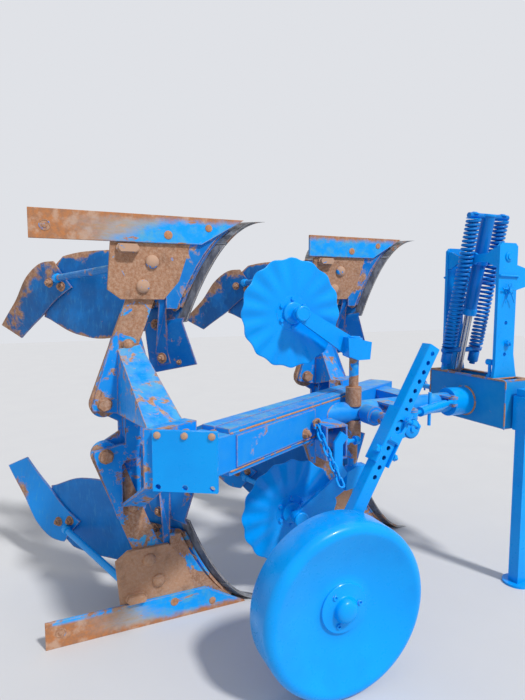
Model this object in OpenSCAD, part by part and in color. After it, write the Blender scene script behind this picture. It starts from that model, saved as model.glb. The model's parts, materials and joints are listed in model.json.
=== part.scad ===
// Two-furrow reversible mouldboard plough for a three-point linkage.
// Millimetres. X is forward, Y is to the left, Z is up. The origin is on the
// ground, at the middle of the plough's bounding box.
// Bodies come in pairs that mirror each other above and below the turnover axis.

/* [Bodies] */
// Distance between the two bodies along the direction of travel
body_spacing = 1000; // [940:10:1060]
// Working width of one body
body_width = 300; // [285:5:320]
// Height of the turnover axis above the ground
axis_h = 780; // [770:5:800]
// Length of the long landside of the rear body
landside_l = 772; // [740:4:800]
// How far behind its frog the short landside of the front body starts
landside_lap = 40; // [20:5:60]
// Height of a landside
landside_h = 100; // [90:2:110]
// Thickness of a landside
landside_t = 12; // [8:1:14]
// Distance from the rear heel to the share point
point_x = 892; // [870:2:910]
// Height at which the share ends and the mouldboard starts
share_h = 100; // [90:2:115]
// Thickness of the share
share_t = 11; // [8:1:13]
// Length of the share along its edge
share_l = 500; // [460:10:520]
// Thickness of the mouldboard
board_t = 8; // [6:1:10]
// Height of the mouldboard above the sole
board_h = 474; // [460:2:480]
// Width of the tail strip
strip_w = 160; // [150:2:168]
// Thickness of the frog plate
frog_t = 15; // [12:1:18]
// Width of a leg bar
leg_w = 98; // [90:2:104]
// Thickness of a leg bar
leg_t = 30; // [24:1:34]

/* [Beam] */
// Side of the square main beam
beam_s = 120; // [100:5:130]
// Wall of the main beam
beam_wall = 10; // [6:1:14]
// Width of the end flange
flange_w = 196; // [184:2:206]
// Height of the end flange
flange_h = 184; // [178:2:196]
// Thickness of the end flange
flange_t = 18; // [12:1:22]
// Diameter of the bolt holes in the end flange
flange_hole_d = 17; // [13:1:21]
// Diameter of the turnover shaft
shaft_d = 90; // [80:2:100]

/* [Coulters] */
// Diameter of the disc coulters
disc_d = 450; // [420:10:460]
// Thickness of the disc coulters
disc_t = 5; // [4:0.5:7]
// Number of waves round a disc
disc_waves = 16; // [12:1:20]
// Diameter of the coulter stems
stem_d = 40; // [34:1:44]

/* [Depth wheel] */
// Diameter of the depth wheel
wheel_d = 575; // [560:5:600]
// Width of the depth wheel
wheel_w = 125; // [115:5:130]
// Thickness of the wheel's sheet
wheel_t = 6; // [4:1:8]
// Side of the square wheel leg
wheel_leg_s = 50; // [46:1:54]
// Diameter of the holes along the wheel leg
leg_hole_d = 18; // [14:1:22]
// Diameter of the wheel arm's pivot
pivot_d = 50; // [44:1:54]

/* [Headstock] */
// Distance between the shoulders of the lower hitch pins
hitch_span = 825; // [780:5:840]
// Diameter of the lower hitch pins
hitch_pin_d = 28; // [26:1:30]
// Height of the top link hole over the lower hitch pins
mast_h = 610; // [580:5:620]
// Diameter of the top link hole
link_hole_d = 26; // [25:1:30]
// Length of the cross trough
trough_l = 460; // [440:10:500]
// Height of the trough's walls
trough_h = 210; // [190:5:220]
// Crank radius of the turnover linkage
crank_r = 140; // [120:5:145]
// Diameter of the turnover cylinder
barrel_d = 60; // [54:2:64]
// Diameter of the piston rod
rod_d = 36; // [28:2:40]
// Outer diameter of the return springs
spring_d = 64; // [56:2:66]
// Wire diameter of the return springs
wire_d = 10; // [7:1:11]
// Number of turns of each return spring
spring_turns = 32; // [20:1:36]

/* [Hidden] */
$fn = 48;

blue = [0.02, 0.45, 0.85];
old_blue = [0.10, 0.38, 0.66];
rust = [0.45, 0.27, 0.16];
steel = [0.42, 0.40, 0.38];
silver = [0.75, 0.75, 0.76];
fit = 0.05;          // radial clearance of a running fit
seat = 0.3;          // gap between pieces that seat on each other

// Places, measured from the rear heel, the rear landside's face and the ground
shaft_y = -85;       // turnover axis
beam_a = 30;         // angle of the main beam in plan
beam_x0 = 409;       // middle of the end flange
beam_y0 = -446;
beam_l = 1421;       // from the flange to the front end
beam_dir = [cos(beam_a), sin(beam_a)];
flange_skew = 29.3;  // the end flange is not square to the beam
flange_s = -10;      // middle of the flange along the beam
head_x = 1923;       // plane of the turnover cylinder
bearing_x = 1750;    // rear end of the shaft bearing
bearing_l = 110;
bearing_wall = 20;
trough_wall = 12;
trough_z = axis_h - 90;         // underside of the trough
trough_x = bearing_x + bearing_l;
trough_w = 142;
trough_end = trough_x + trough_w;
shaft_end = head_x - rod_d / 2 - 5; // front end of the turnover shaft
crank_t = 20;
crank_x = shaft_end - crank_t;
post_gap = 146;                 // from the axis to a post's inner face
post_t = 16;
post_w = 110;
post_top = axis_h + 720;
cyl_h = 660;                    // cylinder pivot above the turnover axis
cyl_z = axis_h + cyl_h;
cyl_tilt = atan(crank_r / cyl_h);
cyl_len = norm([crank_r, cyl_h]);
barrel_up = 205;                // barrel above its pivot
barrel_down = 265;              // barrel below its pivot
eye_r = 26;
rod_top = 195;                  // piston end of the rod below the pivot
eye_t = 30;
pin_r = 15;
spring_off = 86;                // springs beside the cylinder
spring_low = 440;               // lower spring bar below the pivot
bar_r = 12;
bar_l = 2 * spring_off + spring_d + 2;
hitch_x = 2050;
hitch_z = 760;
link_x = 2130;
link_z = hitch_z + mast_h;
link_nose = 30;
stem_x = 1225;
stem_y = -100;
arm_dx = 251;                   // disc centre behind the stem
arm_dz = 419;                   // disc centre above the turnover axis
disc_y = -20;                   // plane of the discs
pivot_x = 1266;
wheel_x = 861;
wheel_clear = 6;                // from the flange's corner to the wheel
wheel_face = beam_y0 + flange_s * sin(beam_a) - flange_t * sin(beam_a + flange_skew)
    - flange_w / 2 * cos(beam_a + flange_skew) - wheel_clear - wheel_w; // outer plane of the wheel
leg_a = 29.6;                   // lean of the wheel leg
leg_y = -455;                   // middle plane of the wheel leg
stand_x = 1930;
stand_y = shaft_y - trough_l / 2 - 46;

// Outline of the shin: how far the front edge lies forward at a height
shin_k = 25.7;
shin_p = 0.437;
function shin_x(z) = point_x - shin_k * pow(z, shin_p);
// The mouldboard's straight lines turn outward as they rise
turn_low = 42;
turn_rise = 13;
function turn_at(z) = turn_low + turn_rise * z / 420;
// A point of the working surface, s along a straight line and z up
function face(s, z) =
    [shin_x(z) - s * cos(turn_at(z)), s * sin(turn_at(z)), z];
function unit(v) = v / norm(v);
// Normal of the working surface, pointing to its front
function front_dir(s, z) =
    unit(cross(face(s + 1, z) - face(s, z), face(s, z + 1) - face(s, z)));
function back(s, z, t) = face(s, z) - t * front_dir(s, z);

// Tail strip, on the back of the wing: columns are s and z of its inner edge,
// then s and z of its outer edge; rows go rearward
strip_table = [[655, 255, 806, 140], [735, 307, 880, 148], [815, 376, 943, 205],
    [899, 432, 1005, 312], [983, 486, 1126, 426]];
strip_full = 160;    // width that the table is drawn for
strip_t = 8;
strip_gap = 1.2;
strip_n = 12;
strip_m = 4;
function strip_row(i) = strip_table[max(0, min(len(strip_table) - 1, i))];
// A smooth curve through the table's rows
function strip_at(u) = let (i = min(floor(u), len(strip_table) - 2), f = u - i,
        a = strip_row(i - 1), b = strip_row(i), c = strip_row(i + 1), d = strip_row(i + 2))
    b + f / 2 * ((c - a) + f * (2 * a - 5 * b + 4 * c - d + f * (3 * b - a - 3 * c + d)));
function strip_grid(t) = [for (k = [0:strip_m], i = [0:strip_n])
    let (q = strip_at((len(strip_table) - 1) * i / strip_n), w = (1 - k / strip_m) * strip_w / strip_full)
    back(q[0] + w * (q[2] - q[0]), q[1] + w * (q[3] - q[1]), board_t + strip_gap + t)];

// The bounding box, for the origin
tail_pts = concat(strip_grid(0), strip_grid(strip_t));
rear_x = min([for (p = tail_pts) p.x]);
front_x = link_x + link_nose;
left_y = max([for (p = tail_pts) p.y]) + body_width;
mid = [(rear_x + front_x) / 2, (wheel_face + left_y) / 2, 0];

// Table of the bodies: offset forward, offset to the left, long landside
rear = [0, 0, true];
front = [body_spacing, body_width, false];

module placed() { translate(-mid) children(); }
// Puts a body's piece in its place, mirrored above the axis when upper
module body_at(b, upper) {
    placed() translate([b[0], b[1], 0])
        if (upper) translate([0, 0, 2 * axis_h]) mirror([0, 0, 1]) children();
        else children();
}
module along_x(l, d) { rotate([0, 90, 0]) cylinder(h = l, d = d); }
module along_y(l, d) { rotate([-90, 0, 0]) cylinder(h = l, d = d); }
// A plate drawn in the X-Z plane, from y to y + t
module plate_xz(y, t) { translate([0, y + t, 0]) rotate([90, 0, 0]) linear_extrude(t) children(); }

// Closed skin between two grids of points, rows by columns
module skin(front_pts, back_pts, rows, cols) {
    n = rows * cols;
    function f(i, j) = i * cols + j;
    function b(i, j) = n + i * cols + j;
    function quad(a, b, c, d) = [[a, b, c], [a, c, d]];
    faces = concat(
        [for (i = [0:rows-2], j = [0:cols-2]) each quad(f(i,j), f(i+1,j), f(i+1,j+1), f(i,j+1))],
        [for (i = [0:rows-2], j = [0:cols-2]) each quad(b(i,j), b(i,j+1), b(i+1,j+1), b(i+1,j))],
        [for (j = [0:cols-2]) each quad(f(0,j), f(0,j+1), b(0,j+1), b(0,j))],
        [for (j = [0:cols-2]) each quad(f(rows-1,j), b(rows-1,j), b(rows-1,j+1), f(rows-1,j+1))],
        [for (i = [0:rows-2]) each quad(f(i,0), b(i,0), b(i+1,0), f(i+1,0))],
        [for (i = [0:rows-2]) each quad(f(i,cols-1), f(i+1,cols-1), b(i+1,cols-1), b(i,cols-1))]);
    polyhedron(points = concat(front_pts, back_pts), faces = faces, convexity = 4);
}

// Landside: a long bar with a slanted nose
nose_back = 172;
module landside_piece(long) {
    start = long ? 0 : 273 - landside_lap;
    color(steel) plate_xz(0, landside_t)
        polygon([[start, 0], [landside_l, 0], [landside_l - nose_back, landside_h], [start, landside_h]]);
}

// Share: a blade whose back tapers to an edge at the ground
share_rows = 6;
share_cols = 7;
function share_z(i) = 1 + (share_h - seat - 1) * pow(i / (share_rows - 1), 1.6);
function share_s(i, j) = 4 + (share_l - 4 - 0.5 * share_z(i)) * j / (share_cols - 1);
module share_piece() {
    color(steel) skin(
        [for (i = [0:share_rows-1], j = [0:share_cols-1]) face(share_s(i, j), share_z(i))],
        [for (i = [0:share_rows-1], j = [0:share_cols-1])
            back(share_s(i, j), share_z(i), min(share_t, 0.8 * share_z(i)))],
        share_rows, share_cols);
}

// Mouldboard: level rows up to the shin's end, then rows that follow the top edge
board_rows = 9;
board_cols = 10;
board_step = 40;
level_rows = 6;
// Height of the top edge over s, as a share of the mouldboard's height
board_top = [[0, 0.816], [372, 0.981], [457, 1], [549, 0.979], [637, 0.949], [710, 0.89], [815, 0.802]];
// How far the bottom edge rises toward the wing's end, over s
board_rise = [[640, 0], [710, 5], [765, 17]];
wing_end = [765, 795, 800, 803, 806, 809, 811, 813, 815];
function board_z(i) = share_h + seat + board_step * i;
function top_z(s) = lookup(s, board_top) * board_h;
function board_s(i, j) = 4 + (wing_end[i] - 4) * j / (board_cols - 1);
function board_pz(i, s) = i == 0 ? board_z(0) + lookup(s, board_rise)
    : i <= level_rows ? board_z(i)
    : board_z(level_rows) + (top_z(s) - board_z(level_rows)) * (i - level_rows) / (board_rows - 1 - level_rows);
function board_grid(t) = [for (i = [0:board_rows-1], j = [0:board_cols-1])
    let (s = board_s(i, j)) back(s, board_pz(i, s), t)];
module board_piece() {
    color(blue) skin(board_grid(0), board_grid(board_t), board_rows, board_cols);
}

// Cover board: stands behind the mouldboard's top edge and leans forward above it
cover_t = 6;
cover_lap = 3;
cover_bite = 3;
cover_in = 15;
cover_out = 186;
cover_dir = [0.8, 0.6, 0];
function cover_foot(s, z) = back(s, z, board_t + cover_lap);
cover_pts = [cover_foot(cover_in, top_z(cover_in) - 14), cover_foot(cover_out, top_z(cover_out) - 28),
    cover_foot(cover_in, top_z(cover_in) + 5), cover_foot(cover_out, top_z(cover_out) + 5),
    [580, 10, 555], [436, 160, 600]];
function cover_at(c, r) = (1 - r) * ((1 - c) * cover_pts[2] + c * cover_pts[3])
    + r * ((1 - c) * cover_pts[4] + c * cover_pts[5]);
cover_strap_t = 8;
module cover_piece() {
    y = landside_t + frog_t + seat;
    foot = [for (z = [278, 330], x = [466, 438]) [x, y, z]];
    head = [for (r = [0.55, 0.85], c = [0.52, 0.8]) cover_at(c, r) - (cover_t - cover_bite) * cover_dir];
    color(blue) skin(cover_pts, [for (p = cover_pts) p - cover_t * cover_dir], 3, 2);
    color(blue) skin(concat([for (p = foot) p + [0, cover_strap_t, 0]], head),
        concat(foot, [for (p = head) p - cover_strap_t * cover_dir]), 4, 2);
}

// Tail strip with the stay that holds it off the frog
stay_d = 28;
stay_ball = 38;
module tail_piece() {
    color(blue) skin(strip_grid(0), strip_grid(strip_t), strip_m + 1, strip_n + 1);
    foot = [271, landside_t + frog_t + 0.35 * stay_d / 2 + seat, 194];
    head = back(745, 215, board_t + strip_gap + strip_t + stay_ball / 2 - 4);
    v = head - foot;
    color(blue) translate(head) sphere(d = stay_ball);
    color(blue) translate(foot)
        rotate([0, acos(v.z / norm(v)), atan2(v.y, v.x)]) cylinder(h = norm(v), d = stay_d);
}

// Frog: a plate beside the leg and a saddle behind the working surface
saddle_t = 12;
saddle_gap = 0.9;
saddle_cols = 5;
// Heights of the rows, with the share's and the mouldboard's own rows
saddle_rows = [for (i = [3:share_rows-1]) share_z(i), for (i = [1:6]) board_z(i)];
saddle_top = saddle_rows[len(saddle_rows) - 1];
function saddle_s(j) = 42 + 250 * j / (saddle_cols - 1);
function saddle_grid(t) = [for (z = saddle_rows, j = [0:saddle_cols-1])
    back(saddle_s(j), z, max(share_t, board_t) + saddle_gap + t)];
module frog_piece() {
    frog_y = landside_t;
    color(rust) plate_xz(frog_y, frog_t)
        polygon([[273, 22], [252, 269], [299, 304], [455, 305], [513, 237], [553, 118], [570, 22]]);
    // web between the plate and the saddle
    color(rust) plate_xz(frog_y, frog_t)
        polygon(concat([for (z = saddle_rows) [shin_x(z) - 60, z]],
            [[462, saddle_top], [462, saddle_rows[0]]]));
    color(rust) skin(saddle_grid(0), saddle_grid(saddle_t), len(saddle_rows), saddle_cols);
}

// Leg: a flat bar from the frog up to its pivot by the turnover axis
leg_y0 = landside_t + frog_t;
pivot_dx = 228;
pivot_dz = 95;
foot_dx = 438;
foot_z = 125;
module leg_piece() {
    color(rust) plate_xz(leg_y0, leg_t) hull() {
        translate([pivot_dx, axis_h - pivot_dz]) circle(d = leg_w);
        translate([foot_dx, foot_z]) circle(d = leg_w);
    }
}

// Bracket: cheeks beside the legs, folded plates from them to a root on the beam's side
cheek_t = 16;
fold_t = 10;
root_w = 115;        // from the beam's middle to the root's outer face
root_h = 92;         // half the root's height
fold_bite = 4;       // how deep the folded plates end in the cheek and the root
fold_in = 12;        // how far inside the root's ends they meet it
fold_drop = [0, 0, -3];
// A point beside the beam's middle line, in plan
function on_side(t, side) = [beam_x0 + t * beam_dir.x - side * beam_dir.y,
                             beam_y0 + t * beam_dir.y + side * beam_dir.x];
function beam_left(t) = on_side(t, beam_s / 2);
near_half = [[283, 58], [189, 75], [186, 92], [264, 338], [273, 347], [286, 347],
    [286, 140], [300, 122], [359, 113], [359, 63]];
far_half = [[455, 60], [420, 160], [376, 335], [350, 352], [290, 352], [268, 338],
    [190, 100], [189, 75], [283, 20]];
module far_cheek() {
    polygon(concat(far_half,
        [for (i = [len(far_half)-1:-1:0]) [far_half[i].x, -far_half[i].y]]));
}
// A plate between coplanar corners, with its thickness on their left-hand side
module slab(p, t) {
    n = len(p);
    v = t * unit(cross(p[1] - p[0], p[n-1] - p[0]));
    polyhedron(points = concat(p, [for (q = p) q + v]), faces = concat(
        [for (i = [1:n-2]) [0, i, i + 1]],
        [for (i = [1:n-2]) [n, n + i + 1, n + i]],
        [for (i = [0:n-1]) let (j = (i + 1) % n) each [[i, i + n, j + n], [i, j + n, j]]]));
}
// The root covers the beam's side between t0 and t1
module bracket(b, t0, t1) {
    y = b[1] + leg_y0 - seat;
    yc = y - cheek_t + fold_bite;
    f0 = on_side(t0 + fold_in, root_w - fold_bite);
    f1 = on_side(t1 - fold_in, root_w - fold_bite);
    top = [[b[0] + 281, yc, 296], [b[0] + 364, yc, 310], [f1.x, f1.y, root_h - 2], [f0.x, f0.y, root_h - 2]];
    color(old_blue) placed() translate([0, 0, axis_h]) {
        translate([b[0], 0, 0]) {
            plate_xz(y - cheek_t, cheek_t) {
                for (m = [0, 1]) mirror([0, m]) polygon(near_half);
                translate([300, -70]) square([59, 140]);
            }
            plate_xz(y + leg_t + 2 * seat, cheek_t) far_cheek();
            plate_xz(y - 2, leg_t + 4) translate([300, -36]) square([59, 72]);
        }
        for (m = [0, 1]) mirror([0, 0, m]) {
            slab(top, fold_t);
            slab([top[1] + fold_drop, [top[1].x, yc, 60], top[2] + fold_drop], fold_t);
        }
        // the rear fold closes the upper half only
        slab([[b[0] + 276, yc, 57], top[0] + fold_drop, top[3] + fold_drop], fold_t);
    }
    color(old_blue) placed() on_beam() translate([0, 0, -root_h]) linear_extrude(2 * root_h)
        polygon([[t0, root_w], [t1, root_w], [t1, beam_s / 2],
            [t0 + mitre(beam_s / 2) - mitre(root_w), beam_s / 2]]);
}

// Beam, its end flange and the tie to the turnover shaft
module on_beam() { translate([beam_x0, beam_y0, axis_h]) rotate([0, 0, beam_a]) children(); }
// Where the flange's inner plane crosses a line beside the beam's middle
function mitre(side) = flange_s - side * tan(flange_skew);
module beam_block(grow = 0) {
    h = beam_s / 2 + grow;
    on_beam() translate([0, 0, -h]) linear_extrude(2 * h)
        polygon([[mitre(h), h], [beam_l, h], [beam_l, -h], [mitre(-h), -h]]);
}
module beam_piece() {
    w = beam_s - 2 * beam_wall;
    color(old_blue) placed() difference() {
        beam_block();
        on_beam() translate([mitre(beam_s), -w / 2, -w / 2]) cube([beam_l + beam_s, w, w]);
    }
}
hole_pitch_y = 82;
hole_pitch_z = 157;
module flange_piece() {
    color(blue) placed() on_beam() translate([flange_s, 0, 0]) rotate([0, 0, flange_skew]) difference() {
        translate([-flange_t, -flange_w / 2, -flange_h / 2]) cube([flange_t, flange_w, flange_h]);
        for (j = [-1:1], k = [-1, 1]) translate([-flange_t - 1, j * hole_pitch_y, k * hole_pitch_z / 2])
            along_x(flange_t + 2, flange_hole_d);
    }
}
module shaft_piece() {
    color(old_blue) placed() difference() {
        translate([1080, shaft_y, axis_h]) along_x(shaft_end - 1080, shaft_d);
        beam_block();
        translate([0, 0, -1]) linear_extrude(3000)
            polygon([[900, beam_y0], [900, 300], [1400, 300], beam_left(850), beam_left(700) + [60, -160]]);
    }
}
tie_x = 1500;
tie_l = 100;
tie_h = 90;
module tie_piece() {
    color(old_blue) placed() difference() {
        translate([tie_x, shaft_y, axis_h - tie_h / 2]) cube([tie_l, 330, tie_h]);
        beam_block();
        translate([0, 0, -1]) linear_extrude(3000)
            polygon([beam_left(1100), beam_left(1421), [1700, 600], [1300, 600]]);
        translate([tie_x - 1, shaft_y, axis_h]) along_x(tie_l + 2, shaft_d);
    }
}
module crank_piece() {
    color(old_blue) placed() difference() {
        translate([crank_x, shaft_y, axis_h]) rotate([90, 0, 90]) linear_extrude(crank_t) hull() {
            circle(d = shaft_d + 30);
            translate([crank_r, 0]) circle(r = eye_r + 6);
        }
        translate([crank_x - 1, shaft_y, axis_h]) along_x(crank_t + 2, shaft_d);
    }
}

// Headstock
module bearing_piece() {
    color(blue) placed() translate([bearing_x, shaft_y, axis_h]) difference() {
        along_x(bearing_l, shaft_d + 2 * bearing_wall);
        translate([-1, 0, 0]) along_x(bearing_l + 2, shaft_d + 2 * fit);
    }
}
module trough_piece() {
    y0 = shaft_y - trough_l / 2;
    color(old_blue) placed() difference() {
        union() {
            translate([trough_x, y0, trough_z]) cube([trough_wall, trough_l, trough_h]);
            translate([trough_end - trough_wall, y0, trough_z]) cube([trough_wall, trough_l, trough_h]);
            translate([trough_x, y0, trough_z]) cube([trough_w, trough_l, trough_wall]);
            for (y = [y0, y0 + trough_l - trough_wall]) plate_xz(y, trough_wall) polygon([
                [trough_x, trough_z], [trough_x, trough_z + trough_h], [trough_end, trough_z + trough_h],
                [hitch_x + 45, hitch_z + 40], [hitch_x + 45, hitch_z - 40], [trough_end, trough_z]]);
        }
        translate([trough_x - 1, shaft_y, axis_h]) along_x(trough_wall + 2, shaft_d + 20);
        translate([hitch_x, y0 - 1, hitch_z]) along_y(trough_l + 2, tube_d);
    }
}
tube_d = 60;
pin_l = 90;
module hitch_piece() {
    color(blue) placed() translate([hitch_x, shaft_y, hitch_z]) {
        translate([0, -hitch_span / 2, 0]) along_y(hitch_span, tube_d);
        for (s = [-1, 1]) translate([0, s * (hitch_span + pin_l) / 2 - pin_l / 2, 0])
            along_y(pin_l, hitch_pin_d);
    }
}
post_foot = trough_z + trough_h;
module posts_piece() {
    color(blue) placed() for (s = [-1, 1])
        plate_xz(s > 0 ? shaft_y + post_gap : shaft_y - post_gap - post_t, post_t) difference() {
            polygon([[trough_x, post_foot], [trough_end, post_foot], [trough_end - 8, post_foot + 30],
                [head_x + post_w / 2, post_foot + 110], [head_x + post_w / 2, link_z - 75],
                [link_x - 30, link_z - 45], [link_x - 30, link_z + 5], [head_x + post_w / 2, link_z + 35],
                [head_x + post_w / 2, post_top - 14], [head_x + post_w / 2 - 14, post_top],
                [head_x - post_w / 2 + 14, post_top], [head_x - post_w / 2, post_top - 14],
                [head_x - post_w / 2, post_foot + 60]]);
            for (z = [1010, 1150, 1290]) translate([head_x, z]) circle(d = 18);
            translate([link_x - 52, link_z - 20]) circle(d = 30);
        }
}
bridge_gap = 40;
bridge_t = 12;
module bridge_piece() {
    color(blue) placed() for (s = [-1, 1]) difference() {
        translate([head_x + (s > 0 ? bridge_gap : -bridge_gap - bridge_t), shaft_y - post_gap, cyl_z - 42])
            cube([bridge_t, 2 * post_gap, 84]);
        translate([head_x + s * (bridge_gap + bridge_t / 2) - bridge_t, shaft_y, cyl_z])
            along_x(2 * bridge_t, 2 * pin_r + 2 * fit);
    }
}
ear_gap = 56;
ear_t = 14;
module link_bracket_piece() {
    x = link_x - 52;
    color(blue) placed() {
        translate([x, shaft_y - post_gap - post_t, link_z - 20]) along_y(2 * (post_gap + post_t), 30);
        for (s = [-1, 1]) plate_xz(s > 0 ? shaft_y + ear_gap / 2 : shaft_y - ear_gap / 2 - ear_t, ear_t)
            difference() {
                hull() {
                    translate([x, link_z - 20]) circle(d = 56);
                    translate([link_x, link_z]) circle(r = link_nose);
                }
                translate([link_x, link_z]) circle(d = link_hole_d);
            }
    }
}
stand_s = 50;
module stand_sleeve_piece() {
    color(blue) placed() difference() {
        union() {
            translate([stand_x - 34, stand_y - 34, trough_z]) cube([68, 68, 150]);
            translate([stand_x - 20, stand_y + 34, trough_z + 40]) cube([40, 12, 60]);
        }
        translate([stand_x - stand_s / 2 - 0.5, stand_y - stand_s / 2 - 0.5, trough_z - 1])
            cube([stand_s + 1, stand_s + 1, 152]);
    }
}
module stand_piece() {
    color(blue) placed() {
        translate([stand_x - stand_s / 2, stand_y - stand_s / 2, 10]) cube([stand_s, stand_s, 860]);
        translate([stand_x, stand_y, 0]) cylinder(h = 10, d = 120);
    }
}

// Turnover cylinder, built along its own axis from the pivot, at rest
module cyl_frame() {
    placed() translate([head_x, shaft_y, cyl_z]) rotate([cyl_tilt, 0, 0]) children();
}
module barrel_piece() {
    color(blue) cyl_frame() difference() {
        union() {
            translate([0, 0, -barrel_down]) cylinder(h = barrel_down + barrel_up, d = barrel_d);
            translate([0, 0, -25]) cylinder(h = 50, d = barrel_d + 16);
            translate([-bridge_gap - bridge_t, 0, 0]) along_x(2 * (bridge_gap + bridge_t), 2 * pin_r);
            translate([-bar_l / 2, 0, barrel_up - bar_r]) along_x(bar_l, 2 * bar_r);
        }
        translate([0, 0, -barrel_down - 1]) cylinder(h = barrel_down - 30, d = rod_d + 2 * fit);
    }
}
module rod_piece() {
    color(silver) cyl_frame() {
        translate([0, 0, -cyl_len + eye_r - 4]) cylinder(h = cyl_len - eye_r - rod_top, d = rod_d);
        translate([-eye_t / 2, 0, -cyl_len]) along_x(eye_t, 2 * eye_r);
        translate([-bar_l / 2, 0, -spring_low]) along_x(bar_l, 2 * bar_r);
    }
}
// Return springs: a wire swept along a helix
coil_seg = 9;
wire_side = 5;
module spring_wire(l) {
    n = spring_turns * coil_seg;
    r = (spring_d - wire_d) / 2;
    pts = [for (i = [0:n], k = [0:wire_side-1]) let (a = 360 * i / coil_seg, w = 360 * k / wire_side)
        [(r + wire_d / 2 * cos(w)) * cos(a), (r + wire_d / 2 * cos(w)) * sin(a),
            l * i / n + wire_d / 2 * sin(w)]];
    faces = concat([for (i = [0:n-1], k = [0:wire_side-1]) let (a = i * wire_side + k,
            b = i * wire_side + (k + 1) % wire_side, c = b + wire_side, d = a + wire_side)
            each [[a, b, c], [a, c, d]]],
        [[for (k = [wire_side-1:-1:0]) k]], [[for (k = [0:wire_side-1]) n * wire_side + k]]);
    polyhedron(points = pts, faces = faces, convexity = 10);
}
module springs_piece() {
    spring_l = barrel_up - bar_r + spring_low - 2 * bar_r - wire_d - 2 * seat;
    color(blue) cyl_frame() for (s = [-1, 1])
        translate([s * spring_off, 0, -spring_low + bar_r + wire_d / 2 + seat]) spring_wire(spring_l);
}

// Coulters
boss_d = 66;
module stems_piece() {
    color(old_blue) placed() for (s = [-1, 1]) difference() {
        union() {
            translate([stem_x, stem_y, axis_h + (s > 0 ? 30 : -300)]) cylinder(h = 270, d = stem_d);
            translate([stem_x, stem_y, axis_h + (s > 0 ? 30 : -110)]) cylinder(h = 80, d = boss_d);
        }
        translate([stem_x - 100, shaft_y, axis_h]) along_x(200, shaft_d + 2 * seat);
        beam_block(seat);
    }
}
collar_d = 66;
arm_plane = -84;
// Carries a coulter's pieces, mirrored below the axis when lower
module coulter_at(lower) {
    placed() translate([stem_x, 0, axis_h]) mirror([0, 0, lower ? 1 : 0]) children();
}
module coulter_arm_piece(lower) {
    color(blue) coulter_at(lower) {
        difference() {
            union() {
                translate([0, stem_y, 235]) cylinder(h = 80, d = collar_d);
                plate_xz(arm_plane - 15, 15) hull() {
                    translate([-10, 275]) circle(d = 80);
                    translate([-arm_dx, arm_dz]) circle(d = 56);
                }
                translate([-arm_dx, arm_plane - 30, arm_dz]) along_y(45, 50);
            }
            translate([0, stem_y, 230]) cylinder(h = 100, d = stem_d + 2 * fit);
        }
        translate([-arm_dx, arm_plane, arm_dz]) along_y(disc_y - arm_plane + 20, 24);
    }
}
// Disc: a wavy edge and pressed flutes that die out toward the middle
disc_seg = 96;
disc_rings = [0.42, 0.62, 0.8, 1];
flute = 5;
module disc_skin() {
    function ring_r(i, a) = disc_rings[i] * (disc_d / 2 - (i == 3 ? 4 * (1 - cos(disc_waves * a)) : 0));
    function ring_z(i, a) = i == 0 ? 0 : flute * (disc_rings[i] - disc_rings[0]) * sin(disc_waves * a);
    top = [for (i = [0:3], j = [0:disc_seg-1]) let (a = 360 * j / disc_seg)
        [ring_r(i, a) * cos(a), ring_r(i, a) * sin(a), ring_z(i, a) + disc_t / 2]];
    low = [for (i = [0:3], j = [0:disc_seg-1]) let (a = 360 * j / disc_seg)
        [ring_r(i, a) * cos(a), ring_r(i, a) * sin(a), ring_z(i, a) - disc_t / 2]];
    m = 4 * disc_seg;
    function nx(j) = (j + 1) % disc_seg;
    polyhedron(points = concat(top, low), convexity = 4, faces = concat(
        [for (i = [0:2], j = [0:disc_seg-1]) each [
            [i * disc_seg + j, (i + 1) * disc_seg + nx(j), (i + 1) * disc_seg + j],
            [i * disc_seg + j, i * disc_seg + nx(j), (i + 1) * disc_seg + nx(j)],
            [m + i * disc_seg + j, m + (i + 1) * disc_seg + j, m + (i + 1) * disc_seg + nx(j)],
            [m + i * disc_seg + j, m + (i + 1) * disc_seg + nx(j), m + i * disc_seg + nx(j)]]],
        [for (j = [0:disc_seg-1]) each [
            [3 * disc_seg + j, m + 3 * disc_seg + nx(j), m + 3 * disc_seg + j],
            [3 * disc_seg + j, 3 * disc_seg + nx(j), m + 3 * disc_seg + nx(j)],
            [j, m + j, m + nx(j)], [j, m + nx(j), nx(j)]]]));
}
module disc_piece(lower) {
    color(blue) coulter_at(lower) translate([-arm_dx, disc_y, arm_dz]) rotate([90, 0, 0]) {
        disc_skin();
        difference() {
            union() {
                translate([0, 0, -disc_t / 2 - 1]) cylinder(h = disc_t + 2, r = disc_rings[0] * disc_d / 2 + 3);
                translate([0, 0, -22]) cylinder(h = 40, d = 90);
            }
            translate([0, 0, -30]) cylinder(h = 60, d = 24 + 2 * fit);
        }
    }
}

// Depth wheel and its swinging arm
hub_w = 110;
pivot_y0 = shaft_y - 20;
pivot_end = leg_y + wheel_leg_s / 2 + 8;
module pivot_piece() {
    color(old_blue) placed() difference() {
        union() {
            translate([pivot_x, pivot_end, axis_h]) along_y(pivot_y0 - pivot_end, pivot_d);
            translate([pivot_x, pivot_y0 - 95, axis_h]) along_y(62, pivot_d + 30);
        }
        translate([pivot_x - 100, shaft_y, axis_h]) along_x(200, shaft_d);
    }
}
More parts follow.
